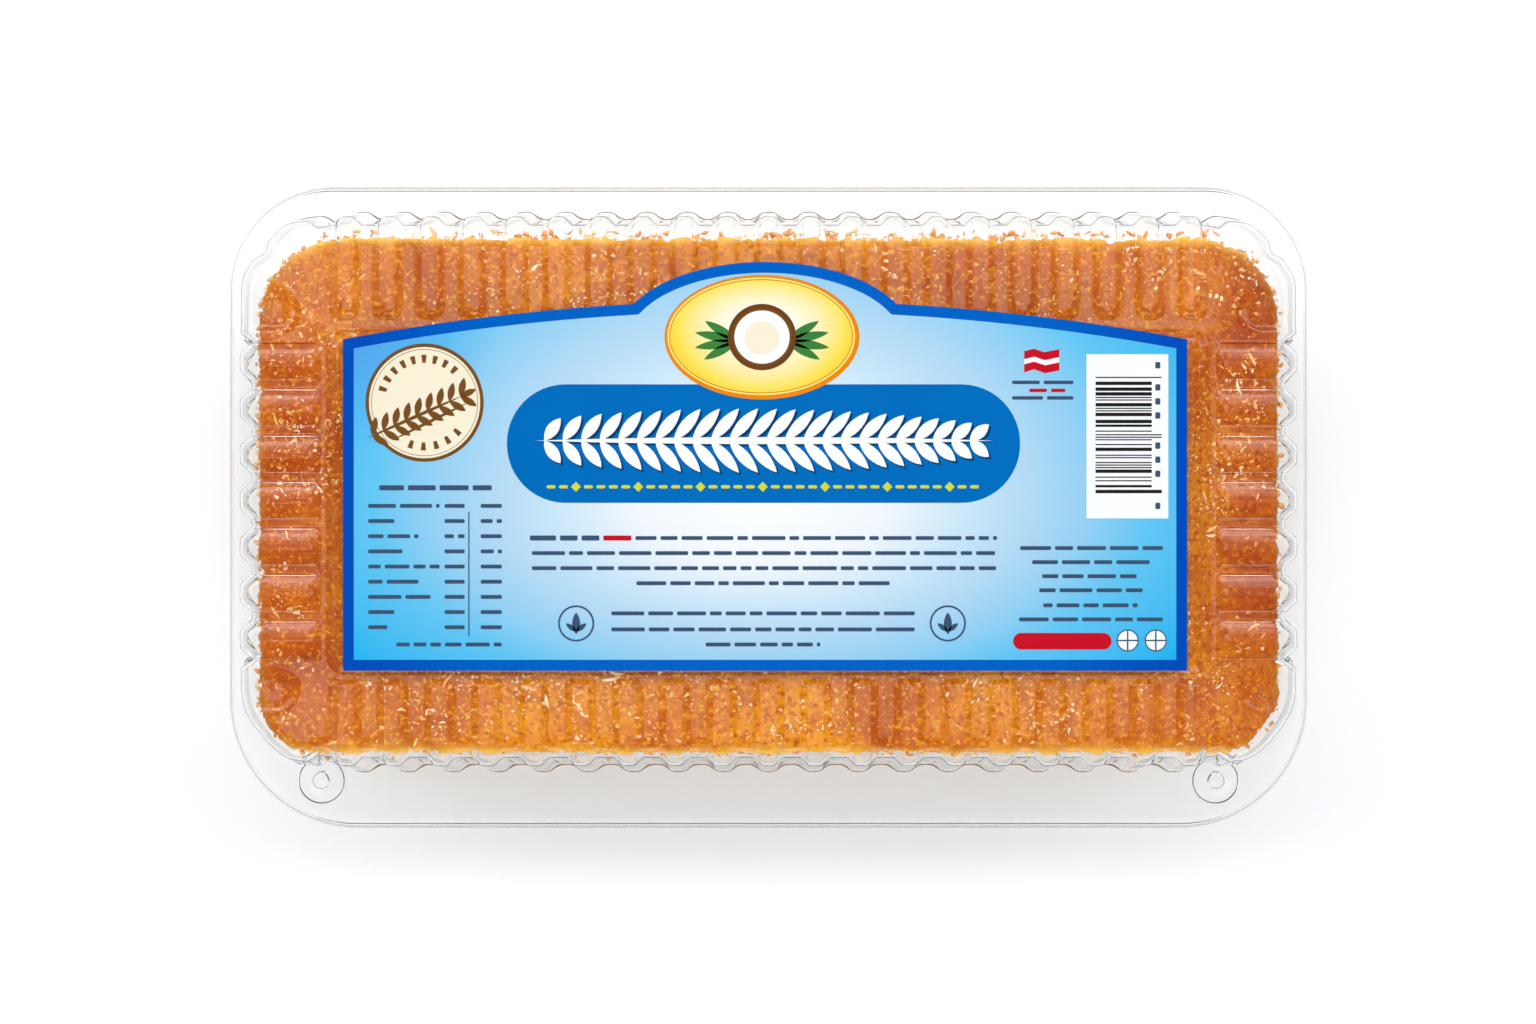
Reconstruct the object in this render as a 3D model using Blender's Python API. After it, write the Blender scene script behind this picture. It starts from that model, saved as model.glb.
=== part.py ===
"""Coconut slab cake in a clear hinged pack with a label on its lid.

The pack is two thermoformed sheets: a tray with the cake in it, and a fluted lid that turns on the
fold along the back edge and is held by two press studs at the front corners.
Metres, +Z up. X runs along the pack and -Y is its front. The origin is on the table, under the
middle of the flange.
"""

import math
import random

import bmesh
import bpy
from mathutils import Matrix, Vector, noise

MM = 0.001

# Both shells
SHEET = 0.4 * MM
AIR = 0.3 * MM
SHARP_ANGLE = math.radians(35)

# Flange, seen from above
PACK_LENGTH = 258.2 * MM
PACK_WIDTH = 153.4 * MM
FRONT_RADIUS = 30.5 * MM
BACK_RADIUS = 24.5 * MM
RIM_STEPS = 7
FLANGE_Z = 22.0 * MM
BEAD_WIDTH = 1.2 * MM
BEAD_SLOPE = 0.3 * MM
BEAD_HEIGHT = 0.9 * MM
LIP_DROP = 0.8 * MM
LID_FLANGE_INSET = BEAD_WIDTH + BEAD_SLOPE + AIR
LID_Z = FLANGE_Z + AIR + SHEET

# Well: the outline along which both walls leave the flange
WELL_LENGTH = 250.8 * MM
WELL_WIDTH = 133.8 * MM
WELL_Y = 3.7 * MM
WELL_RADIUS = 22.0 * MM
CORNER_TURNS = (12, 38, 52, 66, 80)
BACK_BULGES = (1.0, 0.2, 0.8, 1.0, 0.7)
FRONT_BULGES = (1.0, 0.75, 0.85, 1.0, 0.7)
NOTCH_STOPS = ((1.5 * MM, 0.35), (2.6 * MM, 0.9))

# Flutes of the lid, which go on down both walls as scallops
BACK_FLUTES = 21
FRONT_FLUTES = 19
SIDE_FLUTES = 7
LONG_SPAN = 201.0 * MM
SIDE_SPAN = 73.2 * MM
SIDE_MIDDLE_Y = 1.5 * MM
BACK_FLUTE = 6.9 * MM
FRONT_FLUTE = 7.1 * MM
SIDE_FLUTE = 9.4 * MM
FLUTE_SLOPE = 1.4 * MM
FLUTE_HEIGHT = 1.4 * MM
LONG_SCALLOP = 1.8 * MM
SIDE_SCALLOP = 2.6 * MM

# Dome of the lid: how far each row is inset from the well, and its height over the flange
LID_HEIGHT = 27.0 * MM
LID_ROWS = ((0.0, 0.0), (3.2 * MM, 20.5 * MM), (4.6 * MM, 24.8 * MM), (7.8 * MM, LID_HEIGHT))
LID_TOP_Z = LID_Z + LID_HEIGHT

# Raised panel in the middle of the lid, and the ends of the flutes round it
PANEL_SIDE_X = 100.3 * MM
PANEL_FRONT_Y = -37.4 * MM
PANEL_BACK_Y = 40.1 * MM
PANEL_RADIUS = 3.2 * MM
PANEL_STEPS = 4
PANEL_SLOPE = 0.7 * MM
FLUTE_END_X = 102.6 * MM
FLUTE_END_FRONT_Y = -39.2 * MM
FLUTE_END_BACK_Y = 43.0 * MM
FLUTE_END_RADIUS = 1.6 * MM
FLUTE_END_SLOPE = 0.6 * MM

# Tray walls: inset from the well, and height over the table
TRAY_ROWS = ((0.0, FLANGE_Z), (4.0 * MM, 4.4 * MM), (5.2 * MM, 1.6 * MM), (7.6 * MM, SHEET))

# Press studs at the two front corners
STUD_X = 107.2 * MM
STUD_Y = -65.5 * MM
SOCKET_RADIUS = 5.4 * MM
SOCKET_DEPTH = 1.5 * MM
SOCKET_ROOM = 6.2 * MM
STUD_RADIUS = 1.95 * MM
STUD_DEPTH = 1.2 * MM
STUD_SLOPE = 0.35 * MM
SOCKET_STEPS = 16
STUD_STEPS = 12

# Cake
CAKE_HALF_LENGTH = 118.0 * MM
CAKE_FRONT_Y = -57.2 * MM
CAKE_BACK_Y = 62.4 * MM
CAKE_FRONT_RADIUS = 14.0 * MM
CAKE_BACK_RADIUS = 20.0 * MM
CAKE_BOTTOM_Z = SHEET + AIR
CAKE_TOP_Z = 46.2 * MM
CAKE_ROWS = ((1.3 * MM, 43.9 * MM), (0.0, 41.2 * MM), (2.4 * MM, 2.6 * MM), (4.6 * MM, 0.0))
CAKE_TOP_INSET = 3.6 * MM
CAKE_COLUMNS = 40
CAKE_LINES = 18
CRUST_SWELL = 0.45 * MM
CRUST_GRAIN = 0.28 * MM
SIDE_GRAIN = 0.5 * MM

# Coconut on the cake
SHREDS = 40
SHRED_LENGTHS = (3.5 * MM, 6.5 * MM)
SHRED_WIDTH = 1.1 * MM
SHRED_THICKNESS = 0.7 * MM
SHRED_SINK = 0.25 * MM
SHRED_MARGIN = 7.0 * MM
SHRED_SPACING = 9.0 * MM

# Label: bottom corners, arched top edge and the hump over its middle
LABEL_HALF_WIDTH = 96.55 * MM
LABEL_X = -0.8 * MM
LABEL_FRONT_Y = -37.4 * MM
LABEL_CORNER_Y = 38.4 * MM
LABEL_SHOULDER_X = 30.0 * MM
LABEL_SHOULDER_Y = 46.5 * MM
LABEL_HUMP_Y = 38.9 * MM
LABEL_HUMP_HEIGHT = 17.2 * MM
LABEL_ARCH_STEPS = 7
LABEL_HUMP_STEPS = 14
LABEL_THICKNESS = 0.3 * MM


def clear_scene():
    for obj in list(bpy.data.objects):
        bpy.data.objects.remove(obj, do_unlink=True)


def plain_material(name, color, roughness, transmission=0.0):
    """A Principled material: colour, roughness and how much light goes through."""
    material = bpy.data.materials.new(name)
    material.use_nodes = True
    shader = material.node_tree.nodes["Principled BSDF"]
    shader.inputs["Base Color"].default_value = (*color, 1.0)
    shader.inputs["Roughness"].default_value = roughness
    shader.inputs["Metallic"].default_value = 0.0
    shader.inputs["Transmission Weight"].default_value = transmission
    material.diffuse_color = (*color, 1.0)
    return material


def add_object(name, bm, material):
    mesh = bpy.data.meshes.new(name)
    bm.to_mesh(mesh)
    bm.free()
    mesh.shade_smooth()
    mesh.set_sharp_from_angle(angle=SHARP_ANGLE)
    mesh.materials.append(material)
    obj = bpy.data.objects.new(name, mesh)
    bpy.context.scene.collection.objects.link(obj)
    return obj


def add_ring(bm, points):
    """The vertices of one closed row of points."""
    return [bm.verts.new(point) for point in points]


def bridge(bm, ring_a, ring_b):
    """Quads between two rows with the same number of points."""
    count = len(ring_a)
    for i in range(count):
        j = (i + 1) % count
        bm.faces.new((ring_a[i], ring_a[j], ring_b[j], ring_b[i]))


def ring_edges(bm, ring):
    count = len(ring)
    edges = []
    for i in range(count):
        pair = (ring[i], ring[(i + 1) % count])
        edges.append(bm.edges.get(pair) or bm.edges.new(pair))
    return edges


def fill_between(bm, *rings):
    """Triangles over the flat area inside the first row and outside the others."""
    edges = [edge for ring in rings for edge in ring_edges(bm, ring)]
    bmesh.ops.triangle_fill(bm, use_beauty=True, edges=edges, normal=(0, 0, 1))


def rounded_outline(side_x, front_y, back_y, front_radius, back_radius, steps):
    """Points of a rectangle with round corners, counter-clockwise from the front right corner."""
    corners = (
        (side_x - front_radius, front_y + front_radius, front_radius, -90),
        (side_x - back_radius, back_y - back_radius, back_radius, 0),
        (back_radius - side_x, back_y - back_radius, back_radius, 90),
        (front_radius - side_x, front_y + front_radius, front_radius, 180),
    )
    points = []
    for x, y, radius, start in corners:
        for step in range(steps + 1):
            turn = math.radians(start + 90 * step / steps)
            points.append((x + radius * math.cos(turn), y + radius * math.sin(turn)))
    return points


def flange_outline(inset):
    """The flange's outline, drawn in by a distance."""
    return rounded_outline(
        PACK_LENGTH / 2 - inset,
        -PACK_WIDTH / 2 + inset,
        PACK_WIDTH / 2 - inset,
        FRONT_RADIUS - inset,
        BACK_RADIUS - inset,
        RIM_STEPS,
    )


def circle(x, y, radius, z, steps):
    turns = [2 * math.pi * step / steps for step in range(steps)]
    return [(x + radius * math.cos(t), y + radius * math.sin(t), z) for t in turns]


class Column:
    """One upright line of a wall: its place on the well, its outward direction and its flute.

    bulge is 1 where the wall stands furthest out and 0 in a hollow between two flutes; rise is the
    same for the height of the top. corner holds the signs of x and y at a round corner of the well.
    """

    def __init__(self, place, outward, bulge, rise, scallop, corner=None):
        self.place = Vector(place)
        self.outward = Vector(outward)
        self.bulge = bulge
        self.rise = rise
        self.scallop = scallop
        self.corner = corner

    def at(self, inset):
        return self.place - self.outward * (inset + self.scallop * (1 - self.bulge))


def flute_stops(span, count, width):
    """Where each flute starts, gets to its top, leaves it and ends: (place, height share)."""
    pitch = (span - width) / (count - 1)
    top = width / 2 - FLUTE_SLOPE
    stops = []
    for i in range(count):
        middle = -span / 2 + width / 2 + i * pitch
        stops += [(middle - width / 2, 0), (middle - top, 1), (middle + top, 1), (middle + width / 2, 0)]
    return stops


def wave_stops(span, count, width):
    """The same flutes as plain waves, with one hollow between two tops."""
    pitch = (span - width) / (count - 1)
    top = width / 2 - FLUTE_SLOPE
    stops = []
    for i in range(count):
        middle = -span / 2 + width / 2 + i * pitch
        stops += [(middle - pitch / 2, 0), (middle - top, 1), (middle + top, 1)]
    return [*stops, (-stops[0][0], 0)]


def wall_columns(stops_of):
    """All columns of the wall, counter-clockwise from the right end of the front side."""
    half_x = WELL_LENGTH / 2
    front_y = WELL_Y - WELL_WIDTH / 2
    back_y = WELL_Y + WELL_WIDTH / 2
    columns = []

    def corner(sign_x, sign_y, start):
        centre_x = sign_x * (half_x - WELL_RADIUS)
        centre_y = (back_y if sign_y > 0 else front_y) - sign_y * WELL_RADIUS
        stops = list(zip(CORNER_TURNS, BACK_BULGES if sign_y > 0 else FRONT_BULGES))
        if sign_x * sign_y < 0:
            stops = [(90 - turn, bulge) for turn, bulge in reversed(stops)]
        for turn, bulge in stops:
            angle = math.radians(start + turn)
            outward = (math.cos(angle), math.sin(angle))
            place = (centre_x + WELL_RADIUS * outward[0], centre_y + WELL_RADIUS * outward[1])
            columns.append(Column(place, outward, bulge, 0, SIDE_SCALLOP, (sign_x, sign_y)))

    def notch(sign_x, sign_y):
        """The wall stands out again right beside the last flute of a side."""
        last_y = SIDE_MIDDLE_Y + sign_y * SIDE_SPAN / 2
        for away, bulge in NOTCH_STOPS if sign_x * sign_y > 0 else reversed(NOTCH_STOPS):
            place = (sign_x * half_x, last_y + sign_y * away)
            columns.append(Column(place, (sign_x, 0), bulge, 0, SIDE_SCALLOP))

    corner(1, -1, -90)
    notch(1, -1)
    for y, share in stops_of(SIDE_SPAN, SIDE_FLUTES, SIDE_FLUTE):
        columns.append(Column((half_x, SIDE_MIDDLE_Y + y), (1, 0), share, share, SIDE_SCALLOP))
    notch(1, 1)
    corner(1, 1, 0)
    for x, share in reversed(stops_of(LONG_SPAN, BACK_FLUTES, BACK_FLUTE)):
        columns.append(Column((x, back_y), (0, 1), share, share, LONG_SCALLOP))
    corner(-1, 1, 90)
    notch(-1, 1)
    for y, share in reversed(stops_of(SIDE_SPAN, SIDE_FLUTES, SIDE_FLUTE)):
        columns.append(Column((-half_x, SIDE_MIDDLE_Y + y), (-1, 0), share, share, SIDE_SCALLOP))
    notch(-1, -1)
    corner(-1, -1, 180)
    for x, share in stops_of(LONG_SPAN, FRONT_FLUTES, FRONT_FLUTE):
        columns.append(Column((x, front_y), (0, -1), share, share, LONG_SCALLOP))
    return columns


def flute_end(column, outset):
    """Where a column crosses the line of the flutes' inner ends, moved outwards by a distance."""
    side_x = FLUTE_END_X + outset
    back_y = FLUTE_END_BACK_Y + outset
    front_y = FLUTE_END_FRONT_Y - outset
    if column.corner:
        sign_x, sign_y = column.corner
        radius = FLUTE_END_RADIUS + outset
        centre_x = sign_x * (side_x - radius)
        centre_y = (back_y if sign_y > 0 else front_y) - sign_y * radius
        return (centre_x + radius * column.outward.x, centre_y + radius * column.outward.y)
    if column.outward.x:
        return (math.copysign(side_x, column.outward.x), column.place.y)
    return (column.place.x, back_y if column.outward.y > 0 else front_y)


def face_upwards(bm):
    """Turns all faces of an open sheet the same way, with its highest face up."""
    bmesh.ops.recalc_face_normals(bm, faces=bm.faces[:])
    highest = max(bm.faces, key=lambda face: face.calc_center_median().z)
    if highest.normal.z < 0:
        bmesh.ops.reverse_faces(bm, faces=bm.faces[:])


def thicken(obj):
    """Gives a sheet its thickness, on the side away from its faces."""
    solidify = obj.modifiers.new("Sheet", "SOLIDIFY")
    solidify.thickness = SHEET
    solidify.offset = -1
    solidify.use_even_offset = True


def lid_mesh():
    bm = bmesh.new()
    columns = wall_columns(flute_stops)
    rows = []
    for inset, height in LID_ROWS:
        fall = FLUTE_HEIGHT * height / LID_HEIGHT
        row = [(*column.at(inset), LID_Z + height - fall * (1 - column.rise)) for column in columns]
        rows.append(add_ring(bm, row))
    base_z = LID_TOP_Z - FLUTE_HEIGHT
    crown = [
        (*flute_end(column, FLUTE_END_SLOPE), base_z + FLUTE_HEIGHT * column.rise) for column in columns
    ]
    rows.append(add_ring(bm, crown))
    rows.append(add_ring(bm, [(*flute_end(column, -FLUTE_END_SLOPE), base_z) for column in columns]))
    for row_a, row_b in zip(rows, rows[1:]):
        bridge(bm, row_a, row_b)

    panel = []
    for outset, z in ((PANEL_SLOPE, base_z), (0.0, LID_TOP_Z)):
        outline = rounded_outline(
            PANEL_SIDE_X + outset,
            PANEL_FRONT_Y - outset,
            PANEL_BACK_Y + outset,
            PANEL_RADIUS,
            PANEL_RADIUS,
            PANEL_STEPS,
        )
        panel.append(add_ring(bm, [(x, y, z) for x, y in outline]))
    fill_between(bm, rows[-1], panel[0])
    bridge(bm, *panel)
    bm.faces.new(panel[1])

    rim = add_ring(bm, [(x, y, LID_Z) for x, y in flange_outline(LID_FLANGE_INSET)])
    studs = []
    for x in (-STUD_X, STUD_X):
        top = add_ring(bm, circle(x, STUD_Y, STUD_RADIUS, LID_Z, STUD_STEPS))
        tip = add_ring(bm, circle(x, STUD_Y, STUD_RADIUS - STUD_SLOPE, LID_Z - STUD_DEPTH, STUD_STEPS))
        bridge(bm, top, tip)
        bm.faces.new(tip)
        studs.append(top)
    fill_between(bm, rim, rows[0], *studs)
    face_upwards(bm)
    return bm


def clear_of_sockets(point):
    """Moves a point of the tray's top edge out of the room round each stud's socket."""
    for x in (-STUD_X, STUD_X):
        away = point - Vector((x, STUD_Y))
        if away.length < SOCKET_ROOM:
            away.y = math.sqrt(SOCKET_ROOM**2 - away.x**2)
            point = Vector((x, STUD_Y)) + away
    return point


def tray_mesh():
    bm = bmesh.new()
    columns = wall_columns(wave_stops)
    rows = []
    for inset, z in TRAY_ROWS:
        points = [column.at(inset) for column in columns]
        if inset == 0:
            points = [clear_of_sockets(point) for point in points]
        rows.append(add_ring(bm, [(*point, z) for point in points]))
    for row_a, row_b in zip(rows, rows[1:]):
        bridge(bm, row_a, row_b)
    bm.faces.new(rows[-1])

    bead_z = FLANGE_Z + BEAD_HEIGHT
    profile = (
        (0.0, FLANGE_Z - LIP_DROP),
        (0.0, bead_z),
        (BEAD_WIDTH, bead_z),
        (BEAD_WIDTH + BEAD_SLOPE, FLANGE_Z),
    )
    rims = [add_ring(bm, [(x, y, z) for x, y in flange_outline(inset)]) for inset, z in profile]
    for rim_a, rim_b in zip(rims, rims[1:]):
        bridge(bm, rim_a, rim_b)
    sockets = []
    for x in (-STUD_X, STUD_X):
        top = add_ring(bm, circle(x, STUD_Y, SOCKET_RADIUS, FLANGE_Z, SOCKET_STEPS))
        floor = add_ring(
            bm, circle(x, STUD_Y, SOCKET_RADIUS - STUD_SLOPE, FLANGE_Z - SOCKET_DEPTH, SOCKET_STEPS)
        )
        bridge(bm, top, floor)
        bm.faces.new(floor)
        sockets.append(top)
    fill_between(bm, rims[-1], rows[0], *sockets)
    face_upwards(bm)
    return bm


def cake_outline(u, v, inset):
    """A point of the cake's outline, u and v being its place on the edge of a square from -1 to 1."""
    half_x = CAKE_HALF_LENGTH - inset
    half_y = (CAKE_BACK_Y - CAKE_FRONT_Y) / 2 - inset
    radius = (CAKE_BACK_RADIUS if v > 0 else CAKE_FRONT_RADIUS) - inset
    x = u * half_x
    y = v * half_y
    over = Vector((abs(x) - (half_x - radius), abs(y) - (half_y - radius)))
    if over.x > 0 and over.y > 0:
        over = over.normalized() * radius
        x = math.copysign(half_x - radius + over.x, x)
        y = math.copysign(half_y - radius + over.y, y)
    return Vector((x, y + (CAKE_BACK_Y + CAKE_FRONT_Y) / 2))


def crust_z(x, y):
    """Height of the crust: slow swells and a grain of crumbs."""
    swell = noise.noise(Vector((x, y, 0)) / (38 * MM)) * CRUST_SWELL
    grain = noise.noise(Vector((x, y, 30 * MM)) / (5 * MM)) * CRUST_GRAIN
    return CAKE_TOP_Z + swell + grain


def cake_mesh():
    """The uncut slab: a grid over its top and rows of points down its sides."""
    bm = bmesh.new()
    middle = Vector((0.0, (CAKE_BACK_Y + CAKE_FRONT_Y) / 2))
    grid = {}
    for i in range(CAKE_COLUMNS + 1):
        for j in range(CAKE_LINES + 1):
            u = 2 * i / CAKE_COLUMNS - 1
            v = 2 * j / CAKE_LINES - 1
            reach = max(abs(u), abs(v))
            if reach == 0:
                point = middle
            else:
                point = middle + (cake_outline(u / reach, v / reach, CAKE_TOP_INSET) - middle) * reach
            grid[i, j] = bm.verts.new((*point, crust_z(*point)))
    for i in range(CAKE_COLUMNS):
        for j in range(CAKE_LINES):
            bm.faces.new((grid[i, j], grid[i + 1, j], grid[i + 1, j + 1], grid[i, j + 1]))

    edge = [(i, 0) for i in range(CAKE_COLUMNS)]
    edge += [(CAKE_COLUMNS, j) for j in range(CAKE_LINES)]
    edge += [(CAKE_COLUMNS - i, CAKE_LINES) for i in range(CAKE_COLUMNS)]
    edge += [(0, CAKE_LINES - j) for j in range(CAKE_LINES)]
    above = [grid[place] for place in edge]
    for inset, height in CAKE_ROWS:
        z = CAKE_BOTTOM_Z + height
        row = []
        for i, j in edge:
            u = 2 * i / CAKE_COLUMNS - 1
            v = 2 * j / CAKE_LINES - 1
            point = cake_outline(u, v, inset)
            rough = abs(noise.noise(Vector((*point, z)) / (6 * MM))) * SIDE_GRAIN if height else 0
            row.append(bm.verts.new((*cake_outline(u, v, inset + rough), z)))
        bridge(bm, above, row)
        above = row
    bm.faces.new(above)
    bmesh.ops.recalc_face_normals(bm, faces=bm.faces[:])
    return bm


def shred_places():
    """Places, directions and lengths of the coconut shreds, spread evenly by a seeded draw."""
    draw = random.Random(7)
    half_x = CAKE_HALF_LENGTH - SHRED_MARGIN
    places = []
    while len(places) < SHREDS:
        x = draw.uniform(-half_x, half_x)
        y = draw.uniform(CAKE_FRONT_Y + SHRED_MARGIN, CAKE_BACK_Y - SHRED_MARGIN)
        turn = draw.uniform(0, math.pi)
        length = draw.uniform(*SHRED_LENGTHS)
        corner_x = abs(x) > half_x - CAKE_BACK_RADIUS
        corner_y = not CAKE_FRONT_Y + CAKE_FRONT_RADIUS < y < CAKE_BACK_Y - CAKE_BACK_RADIUS
        near = any(math.hypot(x - other[0], y - other[1]) < SHRED_SPACING for other in places)
        if not near and not (corner_x and corner_y):
            places.append((x, y, turn, length))
    return places


def shred_mesh(x, y, turn, length):
    """A curved strip of coconut, pointed at both ends, lying in the crust."""
    bm = bmesh.new()
    steps = 3
    bend = length * 0.18
    rows = []
    z = crust_z(x, y) - SHRED_SINK
    for step in range(steps + 1):
        along = step / steps - 0.5
        width = SHRED_WIDTH * (1 - 1.2 * abs(along))
        side = bend * (0.25 - along * along) * 4
        place = Vector((along * length, side))
        corners = (
            (place.x, place.y - width / 2, z),
            (place.x, place.y + width / 2, z),
            (place.x, place.y, z + SHRED_THICKNESS * (1 - abs(along))),
        )
        rows.append([bm.verts.new(corner) for corner in corners])
    for row_a, row_b in zip(rows, rows[1:]):
        bridge(bm, row_a, row_b)
    bm.faces.new(rows[0])
    bm.faces.new(rows[-1])
    bmesh.ops.recalc_face_normals(bm, faces=bm.faces[:])
    bmesh.ops.rotate(bm, verts=bm.verts, cent=(0, 0, 0), matrix=Matrix.Rotation(turn, 3, "Z"))
    bmesh.ops.translate(bm, verts=bm.verts, vec=(x, y, 0))
    return bm


def fuse(obj, collection):
    """Joins every piece of a collection to an object and removes the pieces."""
    union = obj.modifiers.new("Coconut", "BOOLEAN")
    union.operation = "UNION"
    union.operand_type = "COLLECTION"
    union.collection = collection
    union.solver = "EXACT"
    graph = bpy.context.evaluated_depsgraph_get()
    joined = bpy.data.meshes.new_from_object(obj.evaluated_get(graph))
    obj.modifiers.remove(union)
    obj.data = joined
    for piece in list(collection.objects):
        bpy.data.objects.remove(piece, do_unlink=True)
    bpy.data.collections.remove(collection)


def label_outline():
    """The label's edge, counter-clockwise from its front left corner."""
    half = LABEL_HALF_WIDTH
    shoulder_x = LABEL_SHOULDER_X
    # The circle through a top corner and a shoulder, its centre on the label's middle line.
    drop = LABEL_SHOULDER_Y - LABEL_CORNER_Y
    centre_y = (
        shoulder_x**2 - half**2 + LABEL_SHOULDER_Y**2 - LABEL_CORNER_Y**2
    ) / (2 * drop)
    radius = math.hypot(half, LABEL_CORNER_Y - centre_y)
    # The ellipse over the middle that meets the shoulders.
    share = (LABEL_SHOULDER_Y - LABEL_HUMP_Y) / LABEL_HUMP_HEIGHT
    hump_half = shoulder_x / math.sqrt(1 - share**2)
    start = math.asin(share)

    arch = []
    for step in range(LABEL_ARCH_STEPS):
        x = half + (shoulder_x - half) * step / LABEL_ARCH_STEPS
        arch.append((x, centre_y + math.sqrt(radius**2 - x**2)))
    hump = []
    for step in range(LABEL_HUMP_STEPS + 1):
        turn = start + (math.pi - 2 * start) * step / LABEL_HUMP_STEPS
        hump.append((hump_half * math.cos(turn), LABEL_HUMP_Y + LABEL_HUMP_HEIGHT * math.sin(turn)))
    left = [(-x, y) for x, y in reversed(arch)]
    return [(-half, LABEL_FRONT_Y), (half, LABEL_FRONT_Y), *arch, *hump, *left]


def label_mesh():
    bm = bmesh.new()
    bottom_z = LID_TOP_Z + AIR
    points = [(x + LABEL_X, y) for x, y in label_outline()]
    bottom = add_ring(bm, [(x, y, bottom_z) for x, y in points])
    top = add_ring(bm, [(x, y, bottom_z + LABEL_THICKNESS) for x, y in points])
    bridge(bm, bottom, top)
    bm.faces.new(bottom)
    bm.faces.new(top)
    bmesh.ops.recalc_face_normals(bm, faces=bm.faces[:])
    return bm


def main():
    clear_scene()
    clear_plastic = plain_material("clear_plastic", (0.95, 0.97, 0.98), 0.05, 1.0)
    crust = plain_material("cake_crust", (0.60, 0.25, 0.06), 0.6)
    print_blue = plain_material("label_print", (0.02, 0.16, 0.55), 0.35)

    tray = add_object("tray", tray_mesh(), clear_plastic)
    thicken(tray)

    fold = bpy.data.objects.new("fold", None)
    fold.location = (0, PACK_WIDTH / 2 - BEAD_WIDTH / 2, FLANGE_Z + BEAD_HEIGHT)
    bpy.context.scene.collection.objects.link(fold)
    lid = add_object("lid", lid_mesh(), clear_plastic)
    thicken(lid)
    label = add_object("label", label_mesh(), print_blue)
    for piece in (lid, label):
        piece.parent = fold
        piece.matrix_parent_inverse.translation = -fold.location

    cake = add_object("cake", cake_mesh(), crust)
    coconut = bpy.data.collections.new("Coconut")
    bpy.context.scene.collection.children.link(coconut)
    for place in shred_places():
        shred = add_object("shred", shred_mesh(*place), crust)
        bpy.context.scene.collection.objects.unlink(shred)
        coconut.objects.link(shred)
    fuse(cake, coconut)


main()
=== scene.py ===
"""Looks of the coconut slab cake in its clear hinged pack, with its coconut, label and studio.

Metres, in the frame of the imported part. Sizes of the pack repeat the part's own named values.
"""

import math
import random

import bmesh
import bpy
import numpy as np
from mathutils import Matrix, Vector, geometry, noise


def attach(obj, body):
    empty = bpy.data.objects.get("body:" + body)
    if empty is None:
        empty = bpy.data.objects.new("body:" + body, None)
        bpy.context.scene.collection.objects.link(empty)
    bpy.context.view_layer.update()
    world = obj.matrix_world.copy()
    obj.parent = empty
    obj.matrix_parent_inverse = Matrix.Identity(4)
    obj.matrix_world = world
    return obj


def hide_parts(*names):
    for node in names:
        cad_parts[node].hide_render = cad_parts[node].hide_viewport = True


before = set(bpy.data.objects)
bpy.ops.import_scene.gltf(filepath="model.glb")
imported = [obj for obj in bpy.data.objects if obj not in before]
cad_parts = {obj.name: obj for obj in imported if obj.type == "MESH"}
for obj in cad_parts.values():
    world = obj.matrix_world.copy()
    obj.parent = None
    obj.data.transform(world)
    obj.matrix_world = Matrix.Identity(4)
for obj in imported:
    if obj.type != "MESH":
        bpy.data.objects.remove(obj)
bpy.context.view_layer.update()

MM = 0.001

# Both shells
SHEET = 0.4 * MM
AIR = 0.3 * MM
PACK_LENGTH = 258.2 * MM
PACK_WIDTH = 153.4 * MM
FRONT_RADIUS = 30.5 * MM
BACK_RADIUS = 24.5 * MM
RIM_STEPS = 20
FLANGE_Z = 22.0 * MM
BEAD_WIDTH = 1.2 * MM
BEAD_SLOPE = 0.3 * MM
BEAD_HEIGHT = 0.9 * MM
LIP_DROP = 0.8 * MM
LID_FLANGE_INSET = BEAD_WIDTH + BEAD_SLOPE + AIR
LID_Z = FLANGE_Z + AIR + SHEET

# Well and flutes
WELL_LENGTH = 250.8 * MM
WELL_WIDTH = 133.8 * MM
WELL_Y = 3.7 * MM
WELL_RADIUS = 22.0 * MM
CORNER_ANGLES = (0, 14, 28, 38, 50, 66, 80, 90)
BACK_BULGES = (1.0, 1.0, 0.75, 0.2, 0.75, 1.0, 0.75, 0.0)
FRONT_BULGES = (1.0, 1.0, 0.85, 0.75, 0.85, 1.0, 0.8, 0.0)
CORNER_COLUMNS = 24
GAP_STEP = 0.8 * MM
NOTCH = 1.0 * MM
BACK_FLUTES = 21
FRONT_FLUTES = 19
SIDE_FLUTES = 7
LONG_SPAN = 201.0 * MM
SIDE_SPAN = 73.2 * MM
SIDE_MIDDLE_Y = 1.5 * MM
BACK_FLUTE = 6.9 * MM
FRONT_FLUTE = 7.1 * MM
SIDE_FLUTE = 9.4 * MM
FLUTE_HEIGHT = 1.4 * MM
LONG_EDGE = 1.55 * MM
SIDE_EDGE = 0.45 * MM
END_EDGE = 1.5 * MM
BACK_RUN = (LONG_SPAN, BACK_FLUTES, BACK_FLUTE, LONG_EDGE)
FRONT_RUN = (LONG_SPAN, FRONT_FLUTES, FRONT_FLUTE, LONG_EDGE)
SIDE_RUN = (SIDE_SPAN, SIDE_FLUTES, SIDE_FLUTE, SIDE_EDGE)
END_STOPS = (2.7, 2.0, 1.4, 1.0, 0.7, 0.45, 0.22, 0.0, -0.35)
FLAT_ROWS = 11
LONG_SCALLOP_EDGE = 2.2 * MM
SIDE_SCALLOP_EDGE = 2.9 * MM
LONG_CROWN = 0.08
SIDE_CROWN = 0.8
SUPPORT = 0.22 * MM
RUN_IN = 0.3 * MM
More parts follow.
